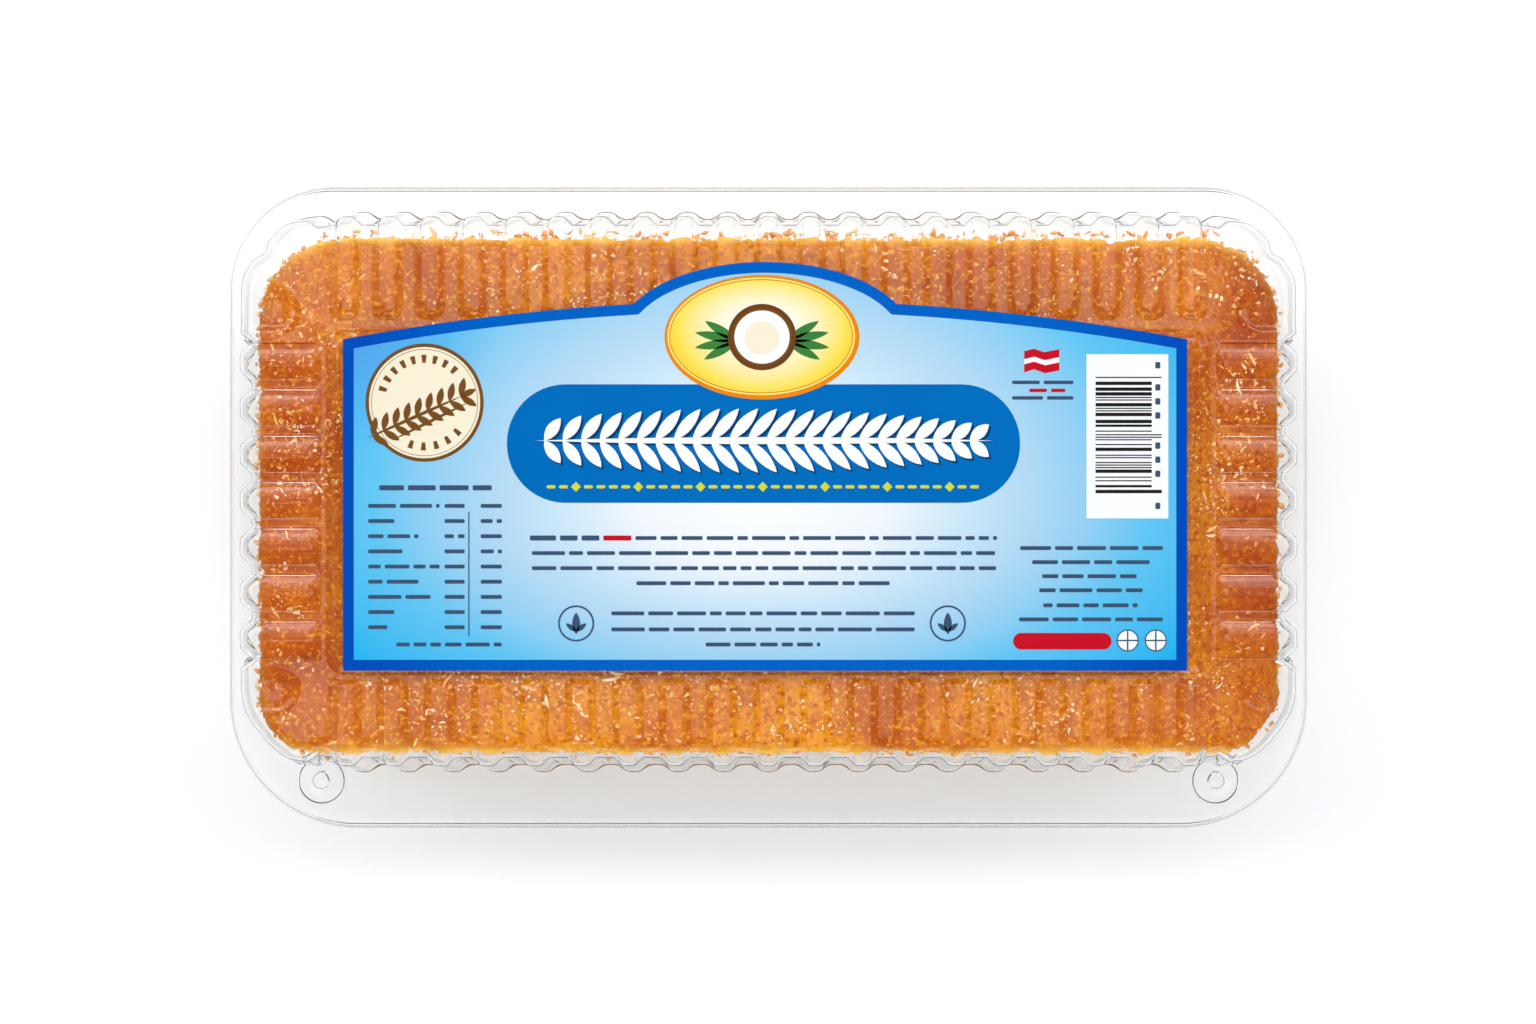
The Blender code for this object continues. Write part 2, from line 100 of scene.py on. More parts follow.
LONG_SCALLOP = 1.8 * MM
SIDE_SCALLOP = 2.6 * MM
FAR = 1.0

# Tray
FOOT_INSET = 4.0 * MM
FOOT_Z = 4.4 * MM
FOOT_RADIUS = 3.2 * MM
SIDE_WAVE = 10.6 * MM
LONG_WAVE = 10.0 * MM

# Dome
LID_HEIGHT = 27.0 * MM
LID_TOP_Z = LID_Z + LID_HEIGHT
WALL_LEAN = math.atan2(20.5, 3.2)
FOOT_FILLET = 0.9 * MM
SHOULDER_RADIUS = 4.2 * MM
PANEL_SIDE_X = 100.3 * MM
PANEL_FRONT_Y = -37.4 * MM
PANEL_BACK_Y = 40.1 * MM
PANEL_RADIUS = 3.2 * MM
PANEL_EDGE = (
    (1.2, 0.0), (0.95, 0.0), (0.75, 0.03), (0.5, 0.11), (0.0, 0.29), (-0.35, 0.42),
    (-0.6, 0.6), (-0.85, 0.72), (-1.4, 0.86), (-2.0, 0.95), (-2.6, 0.99), (-2.9, 1.0),
)
PANEL_STEPS = 8
PANEL_PARTS = 24
FLUTE_END_X = 102.6 * MM
FLUTE_END_FRONT_Y = -39.2 * MM
FLUTE_END_BACK_Y = 43.0 * MM
FLUTE_END_RADIUS = 1.6 * MM

# Scoops at the ends of the side walls
SCOOP_X = 108.6 * MM
SCOOP_YS = (45.2 * MM, -42.2 * MM)
SCOOP_HALF = 4.9 * MM
SCOOP_DEPTH = 0.6 * MM
SCOOP_EDGE = 1.3 * MM

# Studs
STUD_X = 107.2 * MM
STUD_Y = -65.5 * MM
SOCKET_RADIUS = 5.4 * MM
SOCKET_DEPTH = 1.5 * MM
SOCKET_ROOM = 6.2 * MM
SOCKET_INSETS = (0.1, 0.36, 0.95, 1.25, 1.6)
STUD_RADIUS = 1.95 * MM
STUD_DEPTH = 1.2 * MM
STUD_INSETS = (0.15, 0.34, 0.6, 0.78, 1.05)
STUD_STEPS = 32

# Cake
CAKE_HALF_LENGTH = 118.0 * MM
CAKE_FRONT_Y = -57.2 * MM
CAKE_BACK_Y = 62.4 * MM
CAKE_MIDDLE_Y = (CAKE_BACK_Y + CAKE_FRONT_Y) / 2
CAKE_HALF_WIDTH = (CAKE_BACK_Y - CAKE_FRONT_Y) / 2
CAKE_FRONT_RADIUS = 14.0 * MM
CAKE_BACK_RADIUS = 20.0 * MM
CAKE_BOTTOM_Z = SHEET + AIR
CAKE_TOP_Z = 46.2 * MM
CAKE_COLUMNS = 380
CAKE_LINES = 190
EDGE_ROLL = 4.2 * MM
EDGE_DROP = 2.4 * MM
GRID_INSET = 0.4 * MM
BROKEN_X = 113 * MM
BROKEN_Y = -51 * MM
BROKEN_REACH = 7 * MM
SIDE_PRESS = 0.16 * MM
LONG_PRESS = 0.18 * MM
SIDE_LEAN = 2.4 * MM
LEAN_TOP = 41.2 * MM
LEAN_BOTTOM = 2.6 * MM
TOE = 2.2 * MM
SIDE_HEIGHTS = (
    42.4, 41.2, 40, 38.6, 37, 35, 33, 31, 29, 26.5, 24, 21, 18, 15, 12, 9, 6, 4, 2.4, 1.2, 0.5, 0,
)

# Coconut: how many bits, and the shares of them that are strips
TOPPINGS = 5200
TINY_CHIPS = 2600
LOOSE_CHIPS = 700
BACK_FLAKES = 70
STRIP_LIFT = 0.08 * MM
LONG_STRIPS = 0.012
STRIPS = 0.11
TOPPING_X = CAKE_HALF_LENGTH - 3.5 * MM
TOPPING_Y = (CAKE_FRONT_Y + 2.5 * MM, CAKE_BACK_Y - 2.5 * MM)

# Label
LABEL_HALF_WIDTH = 96.55 * MM
LABEL_X = -0.8 * MM
LABEL_FRONT_Y = -37.4 * MM
LABEL_CORNER_Y = 38.4 * MM
LABEL_SHOULDER_X = 30.0 * MM
LABEL_SHOULDER_Y = 46.5 * MM
LABEL_HUMP_Y = 38.9 * MM
LABEL_HUMP_HEIGHT = 17.2 * MM
LABEL_Z = LID_TOP_Z + 0.12 * MM
LABEL_THICKNESS = 0.12 * MM
LABEL_BORDER = 2.5 * MM
LABEL_STEPS = 24
INK_STEP = 0.02 * MM

# Photograph: the size of a pixel at the height of the lid's top, and the pixel over the origin
PIXEL = 0.2297 * MM
PIXEL_X = 768.5
PIXEL_Y = 507.3


# ---------------------------------------------------------------- materials


def rgb(red, green, blue):
    """A display colour, 0 to 255, as linear light."""
    levels = []
    for value in (red, green, blue):
        share = value / 255
        levels.append(share / 12.92 if share <= 0.04045 else ((share + 0.055) / 1.055) ** 2.4)
    return (*levels, 1.0)


def new_node(tree, kind, values=None, **settings):
    node = tree.nodes.new(kind)
    for name, setting in settings.items():
        setattr(node, name, setting)
    for name, value in (values or {}).items():
        if isinstance(value, bpy.types.NodeSocket):
            tree.links.new(value, node.inputs[name])
        else:
            node.inputs[name].default_value = value
    return node


def new_material(name, color, **values):
    """A Principled material, with its tree, its shader and the piece's own coordinates."""
    material = bpy.data.materials.new(name)
    material.use_nodes = True
    tree = material.node_tree
    shader = tree.nodes["Principled BSDF"]
    shader.inputs["Base Color"].default_value = color
    for key, value in values.items():
        shader.inputs[key.replace("_", " ")].default_value = value
    return material, tree, shader, new_node(tree, "ShaderNodeTexCoord").outputs["Object"]


def ramp(tree, factor, stops):
    node = new_node(tree, "ShaderNodeValToRGB", {"Fac": factor})
    elements = node.color_ramp.elements
    while len(elements) < len(stops):
        elements.new(0.5)
    for element, (position, color) in zip(elements, stops):
        element.position = position
        element.color = color
    return node.outputs["Color"]


def mix(tree, factor, color_a, color_b, blend="MIX"):
    values = {0: factor, 6: color_a, 7: color_b}
    node = new_node(tree, "ShaderNodeMix", values, data_type="RGBA", blend_type=blend)
    return node.outputs[2]


def noise_of(tree, coords, scale, detail=3.0, roughness=0.55, distortion=0.0):
    values = {"Vector": coords, "Scale": scale, "Detail": detail}
    values.update({"Roughness": roughness, "Distortion": distortion})
    return new_node(tree, "ShaderNodeTexNoise", values).outputs["Fac"]


def grey(level):
    return (level, level, level, 1)


def tones(*stops):
    """Ramp stops from (position, display colour)."""
    return [(position, rgb(*tone)) for position, tone in stops]


def span(tree, value, low, high, start=0.0, end=1.0):
    """start where the value is at low, end where it is at high, and straight in between."""
    stops = {"Value": value, "From Min": low, "From Max": high, "To Min": start, "To Max": end}
    return new_node(tree, "ShaderNodeMapRange", stops).outputs["Result"]


def maths(tree, operation, *values):
    node = new_node(tree, "ShaderNodeMath", dict(enumerate(values)), operation=operation)
    return node.outputs["Value"]


def axes_of(tree, coords):
    place = new_node(tree, "ShaderNodeSeparateXYZ", {"Vector": coords})
    return [place.outputs[axis] for axis in "XYZ"]


def paint(tree, shader, color):
    tree.links.new(color, shader.inputs["Base Color"])


def bump(tree, shader, height, strength, distance):
    values = {"Height": height, "Strength": strength, "Distance": distance}
    node = new_node(tree, "ShaderNodeBump", values)
    tree.links.new(node.outputs["Normal"], shader.inputs["Normal"])


def plastic_material(name, color):
    """Clear PET sheet. Light passes it on its way to a shadow, a little weaker."""
    looks = {"Roughness": 0.03, "IOR": 1.3, "Transmission_Weight": 1.0}
    material, tree, shader, coords = new_material(name, color, **looks)
    bump(tree, shader, noise_of(tree, coords, 90.0, 2.0), 0.10, 0.5 * MM)
    clear = new_node(tree, "ShaderNodeBsdfTransparent", {"Color": (0.978, 0.98, 0.982, 1)})
    ray = new_node(tree, "ShaderNodeLightPath")
    sides = {0: ray.outputs["Is Shadow Ray"], 1: shader.outputs["BSDF"], 2: clear.outputs["BSDF"]}
    both = new_node(tree, "ShaderNodeMixShader", sides)
    tree.links.new(both.outputs["Shader"], tree.nodes["Material Output"].inputs["Surface"])
    return material


def crust_material():
    """Baked coconut crust: golden brown, toasted in patches, paler and more open down its sides;
    its right end is darkened by painted shade.
    """
    material, tree, shader, coords = new_material(
        "cake_crust_fine", rgb(216, 116, 18), Roughness=0.4, Specular_IOR_Level=0.07
    )
    toast = tones(
        (0.3, (156, 59, 0)), (0.43, (180, 87, 0)), (0.56, (199, 111, 2)), (0.72, (216, 138, 6))
    )
    patches = ramp(tree, noise_of(tree, coords, 34.0, 4.0, 0.6, 0.4), toast)
    brown = ramp(tree, noise_of(tree, coords, 150.0, 4.0, 0.6), ((0.5, grey(0)), (0.7, grey(0.5))))
    bits = noise_of(tree, coords, 1000.0, 2.0, 0.6)
    pale = ramp(tree, bits, ((0.52, grey(0)), (0.68, grey(0.9))))
    dark = ramp(tree, noise_of(tree, coords, 850.0, 3.0, 0.6), ((0.34, grey(1)), (0.5, grey(0))))
    color = mix(tree, brown, patches, rgb(156, 54, 0))
    color = mix(tree, pale, color, rgb(221, 153, 24))
    color = mix(tree, dark, color, rgb(167, 73, 0))
    x, y, height = axes_of(tree, coords)
    away = maths(tree, "ABSOLUTE", x)
    # Painted shade: the right end of the crust is darkened, fully towards the back and at 0.4 of
    # that near the front.
    right_shade_strength = span(tree, y, -50 * MM, -30 * MM, 0.4)
    right = maths(tree, "MULTIPLY", span(tree, x, 94 * MM, 108 * MM), right_shade_strength)
    color = mix(tree, right, color, (0.74, 0.52, 0.36, 1), "MULTIPLY")
    beside = span(tree, maths(tree, "ABSOLUTE", y), 38 * MM, 46 * MM, 1.0, 0.0)
    left = maths(tree, "MULTIPLY", span(tree, x, -96 * MM, -106 * MM), beside)
    color = mix(tree, left, color, (0.88, 0.72, 0.5, 1), "MULTIPLY")
    rim = span(tree, height, 44.2 * MM, 46.1 * MM, 1.0, 0.0)
    side = span(tree, height, 36 * MM, 42 * MM, 1.0, 0.0)
    golden = maths(tree, "MULTIPLY", rim, span(tree, away, 106 * MM, 113 * MM, 1.0, 0.2))
    color = mix(tree, golden, color, rgb(240, 186, 68))
    sponge = mix(tree, noise_of(tree, coords, 260.0, 4.0), rgb(222, 158, 80), rgb(238, 190, 112))
    paint(tree, shader, mix(tree, side, color, sponge))
    wet = span(tree, noise_of(tree, coords, 70.0, 3.0), 0.4, 0.6, 0.75, 0.2)
    tree.links.new(wet, shader.inputs["Roughness"])
    bump(tree, shader, noise_of(tree, coords, 1000.0, 4.0, 0.7), 0.7, 0.45 * MM)
    return material


def coconut_material():
    material, tree, shader, coords = new_material(
        "coconut_flakes", rgb(240, 190, 120), Roughness=0.25, Specular_IOR_Level=0.6
    )
    toast = tones((0.34, (224, 138, 50)), (0.5, (238, 176, 98)), (0.66, (252, 228, 186)))
    paint(tree, shader, ramp(tree, noise_of(tree, coords, 150.0, 2.0), toast))
    bump(tree, shader, noise_of(tree, coords, 1500.0, 2.0), 0.3, 0.1 * MM)
    return material


def printed(name, color):
    """A material with the faint tooth and uneven gloss of printed film."""
    material, tree, shader, coords = new_material(name, color, Specular_IOR_Level=0.01)
    bump(tree, shader, noise_of(tree, coords, 800.0, 3.0), 0.06, 0.05 * MM)
    gloss = span(tree, noise_of(tree, coords, 150.0, 3.0), 0.0, 1.0, 0.38, 0.5)
    tree.links.new(gloss, shader.inputs["Roughness"])
    return material, tree, shader, coords


def ink_material(name, color, other=None):
    """One printed colour, with a slightly different second tone in slow patches."""
    material, tree, shader, coords = printed(name, color)
    if other is None:
        other = (*(0.93 * value for value in color[:3]), 1.0)
    tone = noise_of(tree, coords, 45.0, 2.0)
    paint(tree, shader, mix(tree, tone, color, other))
    return material


def border_material():
    """The label's blue edge, a little darker towards its two ends."""
    material, tree, shader, coords = printed("label_border", rgb(2, 99, 198))
    share = span(tree, maths(tree, "ABSOLUTE", axes_of(tree, coords)[0]), 64 * MM, 93 * MM)
    color = mix(tree, share, rgb(2, 97, 196), rgb(2, 76, 184))
    paint(tree, shader, color)
    return material


def radial(tree, coords, centre, radii_front, radius_back):
    """Distance from a centre as a share of an ellipse that is deeper towards the back."""
    x, y, _ = axes_of(tree, coords)
    across = maths(tree, "DIVIDE", maths(tree, "SUBTRACT", x, centre[0]), radii_front[0])
    along = maths(tree, "SUBTRACT", y, centre[1])
    front = maths(tree, "DIVIDE", maths(tree, "MINIMUM", along, 0.0), radii_front[1])
    back = maths(tree, "DIVIDE", maths(tree, "MAXIMUM", along, 0.0), radius_back)
    across, front, back = (maths(tree, "POWER", part, 2.0) for part in (across, front, back))
    return maths(tree, "SQRT", maths(tree, "ADD", maths(tree, "ADD", across, front), back))


def sky_material():
    """The label's blue ground, near white in the middle."""
    material, tree, shader, coords = printed("label_ground", rgb(150, 210, 244))
    share = radial(tree, coords, at(760, 505), (430 * PIXEL, 215 * PIXEL), 318 * PIXEL)
    blues = tones(
        (0.0, (250, 252, 253)),
        (0.22, (238, 243, 248)),
        (0.36, (201, 228, 245)),
        (0.46, (180, 216, 241)),
        (0.57, (151, 207, 240)),
        (0.69, (98, 196, 240)),
        (0.92, (28, 177, 238)),
    )
    color = ramp(tree, maths(tree, "DIVIDE", share, 1.3), blues)
    left = radial(tree, coords, at(352, 342), (150 * PIXEL, 110 * PIXEL), 60 * PIXEL)
    corner = ramp(tree, left, ((0.1, grey(0.85)), (1.0, grey(0))))
    color = mix(tree, corner, color, rgb(84, 160, 230))
    paint(tree, shader, color)
    return material


def oval_material():
    material, tree, shader, coords = printed("label_oval", rgb(252, 240, 190))
    share = radial(tree, coords, at(762, 326), (96 * PIXEL, 74 * PIXEL), 52 * PIXEL)
    golds = tones(
        (0.35, (253, 248, 228)),
        (0.62, (253, 238, 176)),
        (0.86, (254, 226, 92)),
        (1.0, (250, 208, 52)),
    )
    paint(tree, shader, ramp(tree, share, golds))
    return material


# ---------------------------------------------------------------- meshes


def finish_piece(name, mesh, materials, body, node):
    """Makes a smooth object of a mesh and puts it on its CAD body."""
    for material in materials:
        mesh.materials.append(material)
    mesh.shade_smooth()
    obj = bpy.data.objects.new(name, mesh)
    bpy.context.scene.collection.objects.link(obj)
    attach(obj, body)
    if node:
        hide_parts(node)
    return obj


def mesh_of(name, bm):
    mesh = bpy.data.meshes.new(name)
    bm.to_mesh(mesh)
    bm.free()
    return mesh


def add_ring(bm, points):
    return [bm.verts.new(point) for point in points]


def level_ring(bm, outline, z):
    return add_ring(bm, [(x, y, z) for x, y in outline])


def bridge(bm, ring_a, ring_b):
    count = len(ring_a)
    for i in range(count):
        j = (i + 1) % count
        bm.faces.new((ring_a[i], ring_a[j], ring_b[j], ring_b[i]))


def bridge_all(bm, rings):
    for ring_a, ring_b in zip(rings, rings[1:]):
        bridge(bm, ring_a, ring_b)


def fill_between(bm, *rings):
    edges = []
    for ring in rings:
        for i, vert in enumerate(ring):
            pair = (vert, ring[(i + 1) % len(ring)])
            edges.append(bm.edges.get(pair) or bm.edges.new(pair))
    bmesh.ops.triangle_fill(bm, use_beauty=True, edges=edges, normal=(0, 0, 1))


def face_upwards(bm):
    bmesh.ops.recalc_face_normals(bm, faces=bm.faces[:])
    highest = max(bm.faces, key=lambda face: face.calc_center_median().z)
    if highest.normal.z < 0:
        bmesh.ops.reverse_faces(bm, faces=bm.faces[:])


def thicken(obj):
    solidify = obj.modifiers.new("Sheet", "SOLIDIFY")
    solidify.thickness = SHEET
    solidify.offset = -1


def smooth(share):
    share = np.clip(share, 0.0, 1.0)
    return share * share * (3 - 2 * share)


def inside_box(across, along, half_across, half_along, radius):
    """How far a place lies inside a rectangle with round corners, negative outside."""
    over_x = np.abs(across) - half_across + radius
    over_y = np.abs(along) - half_along + radius
    outer = np.hypot(np.maximum(over_x, 0), np.maximum(over_y, 0))
    inner = np.minimum(np.maximum(over_x, over_y), 0)
    return radius - outer - inner


def arc(centre, radius, start, end, steps):
    points = []
    for step in range(steps + 1):
        turn = math.radians(start + (end - start) * step / steps)
        points.append((centre[0] + radius * math.cos(turn), centre[1] + radius * math.sin(turn)))
    return points


def ellipse(x, y, radius_x, radius_y, steps=64):
    turns = [2 * math.pi * step / steps for step in range(steps)]
    return [(x + radius_x * math.cos(t), y + radius_y * math.sin(t)) for t in turns]


def rounded_outline(side_x, front_y, back_y, front_radius, back_radius, steps):
    corners = (
        (side_x - front_radius, front_y + front_radius, front_radius, -90),
        (side_x - back_radius, back_y - back_radius, back_radius, 0),
        (back_radius - side_x, back_y - back_radius, back_radius, 90),
        (front_radius - side_x, front_y + front_radius, front_radius, 180),
    )
    points = []
    for x, y, radius, start in corners:
        points += arc((x, y), radius, start, start + 90, steps)
    return points


def between(start, end, shares):
    return [tuple(a + (b - a) * share for a, b in zip(start, end)) for share in shares]


def with_stops(outline, count):
    """The outline with its long straight sides cut into equal parts."""
    points = []
    for start, end in zip(outline, [*outline[1:], outline[0]]):
        parts = count if math.dist(start, end) > 20 * MM else 1
        for part in range(parts):
            points += between(start, end, (part / parts,))
    return points


def flange_outline(inset):
    return rounded_outline(
        PACK_LENGTH / 2 - inset,
        -PACK_WIDTH / 2 + inset,
        PACK_WIDTH / 2 - inset,
        FRONT_RADIUS - inset,
        BACK_RADIUS - inset,
        RIM_STEPS,
    )


def dish(bm, x, y, profile):
    """A round dip or knob from (radius, height) rows, closed at its end; returns its outer row."""
    profile = ((profile[0][0] + RUN_IN, profile[0][1]), *profile)
    rings = [level_ring(bm, ellipse(x, y, radius, radius, STUD_STEPS), z) for radius, z in profile]
    bridge_all(bm, rings)
    bm.faces.new(rings[-1])
    return rings[0]


def dimples(bm, radius, insets, top, depth, first_drop):
    """The round dips at both front corners; returns their outer rows."""
    low = top - depth
    heights = (top - first_drop, top - 0.3 * MM, low + 0.3 * MM, low + 0.06 * MM, low)
    profile = [(radius, top), *((radius - inset * MM, z) for inset, z in zip(insets, heights))]
    return [dish(bm, x, STUD_Y, profile) for x in (-STUD_X, STUD_X)]


# ---------------------------------------------------------------- walls of the shells


def flute_end_y(sign):
    return FLUTE_END_BACK_Y if sign > 0 else FLUTE_END_FRONT_Y


class Columns:
    """Upright lines of a wall, counter-clockwise from the right end of the front side.

    place and outward are arrays of (x, y); across is the distance to the middle line of the nearest
    flute, half its half width, edge the width of its slope; scallop is the depth of a hollow; bulge
    is how far a corner column stands out; end is where the column reaches the line of the flutes'
    inner ends.
    """

    def __init__(self, stops_of):
        self.rows = []
        for sign, run in ((1, BACK_RUN), (-1, FRONT_RUN)):
            self.corner(sign, -sign, -90 * sign)
            self.gap(sign, -sign)
            for y, across in stops_of(SIDE_RUN)[::sign]:
                self.add((sign * WELL_LENGTH / 2, SIDE_MIDDLE_Y + y), (sign, 0), across, SIDE_RUN)
            self.gap(sign, sign)
            self.corner(sign, sign, 90 - 90 * sign)
            for x, across in stops_of(run)[::-sign]:
                self.add((x, WELL_Y + sign * WELL_WIDTH / 2), (0, sign), across, run)
        columns = np.array(self.rows)
        self.place = columns[:, 0:2]
        self.outward = columns[:, 2:4]
        self.across, self.half, self.edge, self.scallop, self.bulge = columns[:, 4:9].T
        self.end = columns[:, 9:11]

    def add(self, place, outward, across, run):
        scallop = SIDE_SCALLOP if outward[0] else LONG_SCALLOP
        if outward[0]:
            end = (math.copysign(FLUTE_END_X, outward[0]), place[1])
        else:
            end = (place[0], flute_end_y(outward[1]))
        self.rows.append((*place, *outward, across, run[2] / 2, run[3], scallop, 0, *end))

    def corner(self, sign_x, sign_y, start):
        centre_x = sign_x * (WELL_LENGTH / 2 - WELL_RADIUS)
        centre_y = WELL_Y + sign_y * (WELL_WIDTH / 2 - WELL_RADIUS)
        end_x = sign_x * (FLUTE_END_X - FLUTE_END_RADIUS)
        end_y = flute_end_y(sign_y) - sign_y * FLUTE_END_RADIUS
        for step in range(CORNER_COLUMNS):
            angle = math.radians(start + 90 * (step + 0.5) / CORNER_COLUMNS)
            out = (math.cos(angle), math.sin(angle))
            turn = math.degrees(math.asin(min(1.0, abs(out[1]))))
            i = max(k for k, stop in enumerate(CORNER_ANGLES[:-1]) if stop <= turn)
            share = (turn - CORNER_ANGLES[i]) / (CORNER_ANGLES[i + 1] - CORNER_ANGLES[i])
            share = float(smooth(share))
            bulges = BACK_BULGES if sign_y > 0 else FRONT_BULGES
            bulge = bulges[i] + (bulges[i + 1] - bulges[i]) * share
            place = (centre_x + WELL_RADIUS * out[0], centre_y + WELL_RADIUS * out[1])
            end = (end_x + FLUTE_END_RADIUS * out[0], end_y + FLUTE_END_RADIUS * out[1])
            self.rows.append((*place, *out, FAR, 1, 1, SIDE_SCALLOP, bulge, *end))

    def gap(self, sign_x, sign_y):
        """The plain stretch of a side wall between its last flute and the corner."""
        run_end = SIDE_MIDDLE_Y + sign_y * SIDE_SPAN / 2
        corner_y = WELL_Y + sign_y * (WELL_WIDTH / 2 - WELL_RADIUS)
        last_y = flute_end_y(sign_y) - sign_y * FLUTE_END_RADIUS
        length = abs(corner_y - run_end)
        away = np.arange(1.2 * MM, length - 0.2 * MM, GAP_STEP)
        if sign_x * sign_y < 0:
            away = away[::-1]
        for distance in away.tolist():
            bulge = float(smooth((distance - 0.6 * MM) / NOTCH))
            y = run_end + sign_y * distance
            end = (sign_x * FLUTE_END_X, run_end + (last_y - run_end) * distance / length)
            place = (sign_x * WELL_LENGTH / 2, y)
            self.rows.append((*place, sign_x, 0, FAR, 1, 1, SIDE_SCALLOP, bulge, *end))

    def share(self):
        """How far each column stands out, from 0 in a hollow to 1 on a flute."""
        edge = np.where(self.on_side(), SIDE_SCALLOP_EDGE, LONG_SCALLOP_EDGE)
        slope = np.clip((self.half - np.abs(self.across)) / edge, 0, 1)
        return np.maximum(0.5 * slope + 0.5 * smooth(slope), self.bulge)

    def crown(self):
        """Height share that the rounding of a flute's top leaves at each column."""
        loss = np.where(self.on_side(), SIDE_CROWN, LONG_CROWN)
        return 1 - loss * np.minimum(np.abs(self.across) / self.half, 1) ** 2

    def rise(self, inside):
        """Height share of the top at each column, from how far it lies inside its flute's edge."""
        slope = np.clip(inside / self.edge, 0, 1)
        slope = 0.8 * slope + 0.2 * smooth(slope)
        return np.where(self.across < FAR, slope * self.crown(), 0.0)

    def on_side(self):
        return np.abs(self.outward[:, 0]) > 0.99


def pitch_of(run):
    span, count, width, _ = run
    return (span - width) / (count - 1)


def stops_along(run, offsets):
    """(place, distance to the flute's middle) along a run, at the same offsets on each flute."""
    span, count, width, _ = run
    middles = [-span / 2 + width / 2 + i * pitch_of(run) for i in range(count)]
    return [(middle + offset, offset) for middle in middles for offset in offsets]


def flute_stops(run):
    """The stops of the lid, close together on each flute's slopes."""
    half, edge = run[2] / 2, run[3]
    inner = half - edge
    slope = [half - edge * share for share in (0.0, 0.2, 0.5, 0.8, 1.0)]
    slope = [half + SUPPORT, *slope, inner - SUPPORT]
    top = (0.2, 0.4, 0.6, 0.8) if edge < 1.2 * MM else (0.5,)
    slope += [inner * share for share in top[::-1]]
    return stops_along(run, [-value for value in slope] + [0.0] + slope[::-1])


def wave_stops(run):
    """The stops of the tray, whose hollows are as wide as its flutes."""
    return stops_along(run, [pitch_of(run) * (step / 12 - 0.5) for step in range(12)])


def dome_profile():
    """(inset, height) up the wall and over the shoulder of a flute."""
    lean = math.degrees(WALL_LEAN)
    reach = FOOT_FILLET / math.tan((math.pi - WALL_LEAN) / 2)
    foot = arc((-reach, FOOT_FILLET), FOOT_FILLET, -90, lean - 90, 4)
    top_inset = LID_HEIGHT / math.tan(WALL_LEAN)
    run = SHOULDER_RADIUS * math.tan(WALL_LEAN / 2)
    centre = (top_inset + run, LID_HEIGHT - SHOULDER_RADIUS)
    shoulder = arc(centre, SHOULDER_RADIUS, 90 + lean, 90, 8)
    wall = between(foot[-1], shoulder[0], (0.22, 0.45, 0.68, 0.88))
    return [(foot[0][0] - RUN_IN, 0.0), *foot, *wall, *shoulder]


def scoop_at(x, y):
    """Depth share of the round-ended scoops at the ends of the side walls."""
    total = np.zeros_like(x)
    length = 60 * MM
    for middle in SCOOP_YS:
        along = np.abs(x) - SCOOP_X - length
        inside = inside_box(along, y - middle, length, SCOOP_HALF, SCOOP_HALF - 0.3 * MM)
        total = np.maximum(total, smooth(inside / SCOOP_EDGE))
    return total


def lid_rings():
    """All rows of the dome, from its foot to just inside the flutes' inner ends."""
    columns = Columns(flute_stops)
    share = columns.share()
    flute = columns.rise(columns.half - np.abs(columns.across))
    rings = []
    for inset, height in dome_profile():
        inset = inset + columns.scallop * (1 - share)
        xy = columns.place - columns.outward * inset[:, None]
        top_share = smooth((height / LID_HEIGHT - 0.15) / 0.85)
        z = height - FLUTE_HEIGHT * height / LID_HEIGHT * (1 - flute)
        z = z - SCOOP_DEPTH * scoop_at(xy[:, 0], xy[:, 1]) * top_share
        rings.append(np.column_stack((xy, LID_Z + z)))
    start = rings[-1][:, :2]
    span = np.linalg.norm(start - columns.end, axis=1)
    last = END_STOPS[0] * MM
    flats = [last + (span - last) * (row / FLAT_ROWS) for row in range(FLAT_ROWS - 1, 0, -1)]
    ends = [np.full(len(span), stop * MM) for stop in END_STOPS]
    on_side = columns.on_side()
    radius = np.where(columns.outward[:, 1] > 0.99, columns.half - 0.1 * MM, 1.6 * MM)
    radius = np.minimum(radius, columns.half)
    for along in flats + ends:
        xy = columns.end + (start - columns.end) * (along / span)[:, None]
        length = 0.5
        inside = inside_box(columns.across, along - length, columns.half, length, radius)
        beside = columns.half - np.abs(columns.across)
        end = np.clip(along / END_EDGE, 0, 1)
        share = np.where(on_side, columns.rise(beside) * end, columns.rise(inside))
        z = LID_HEIGHT - FLUTE_HEIGHT * (1 - share) - SCOOP_DEPTH * scoop_at(xy[:, 0], xy[:, 1])
        rings.append(np.column_stack((xy, LID_Z + z)))
    return rings


def make_lid(material):
    bm = bmesh.new()
    rings = [add_ring(bm, ring.tolist()) for ring in lid_rings()]
    bridge_all(bm, rings)

    panel = []
    low = LID_TOP_Z - FLUTE_HEIGHT
    for outset, share in PANEL_EDGE:
        outset *= MM
        lift = FLUTE_HEIGHT * share
        radius = PANEL_RADIUS + outset
        sides = (PANEL_SIDE_X + outset, PANEL_FRONT_Y - outset, PANEL_BACK_Y + outset)
        outline = with_stops(rounded_outline(*sides, radius, radius, PANEL_STEPS), PANEL_PARTS)
        panel.append(level_ring(bm, outline, low + lift))
    fill_between(bm, rings[-1], panel[0])
    bridge_all(bm, panel)
    bm.faces.new(panel[-1])

    insets = (LID_FLANGE_INSET, LID_FLANGE_INSET + RUN_IN)
    rim = [level_ring(bm, flange_outline(inset), LID_Z) for inset in insets]
    bridge_all(bm, rim)
    studs = dimples(bm, STUD_RADIUS, STUD_INSETS, LID_Z, STUD_DEPTH, 0.06 * MM)
    fill_between(bm, rim[-1], rings[0], *studs)
    face_upwards(bm)
    mesh = mesh_of("lid_shell", bm)
    thicken(finish_piece("lid_shell", mesh, [material], "lid", "lid"))


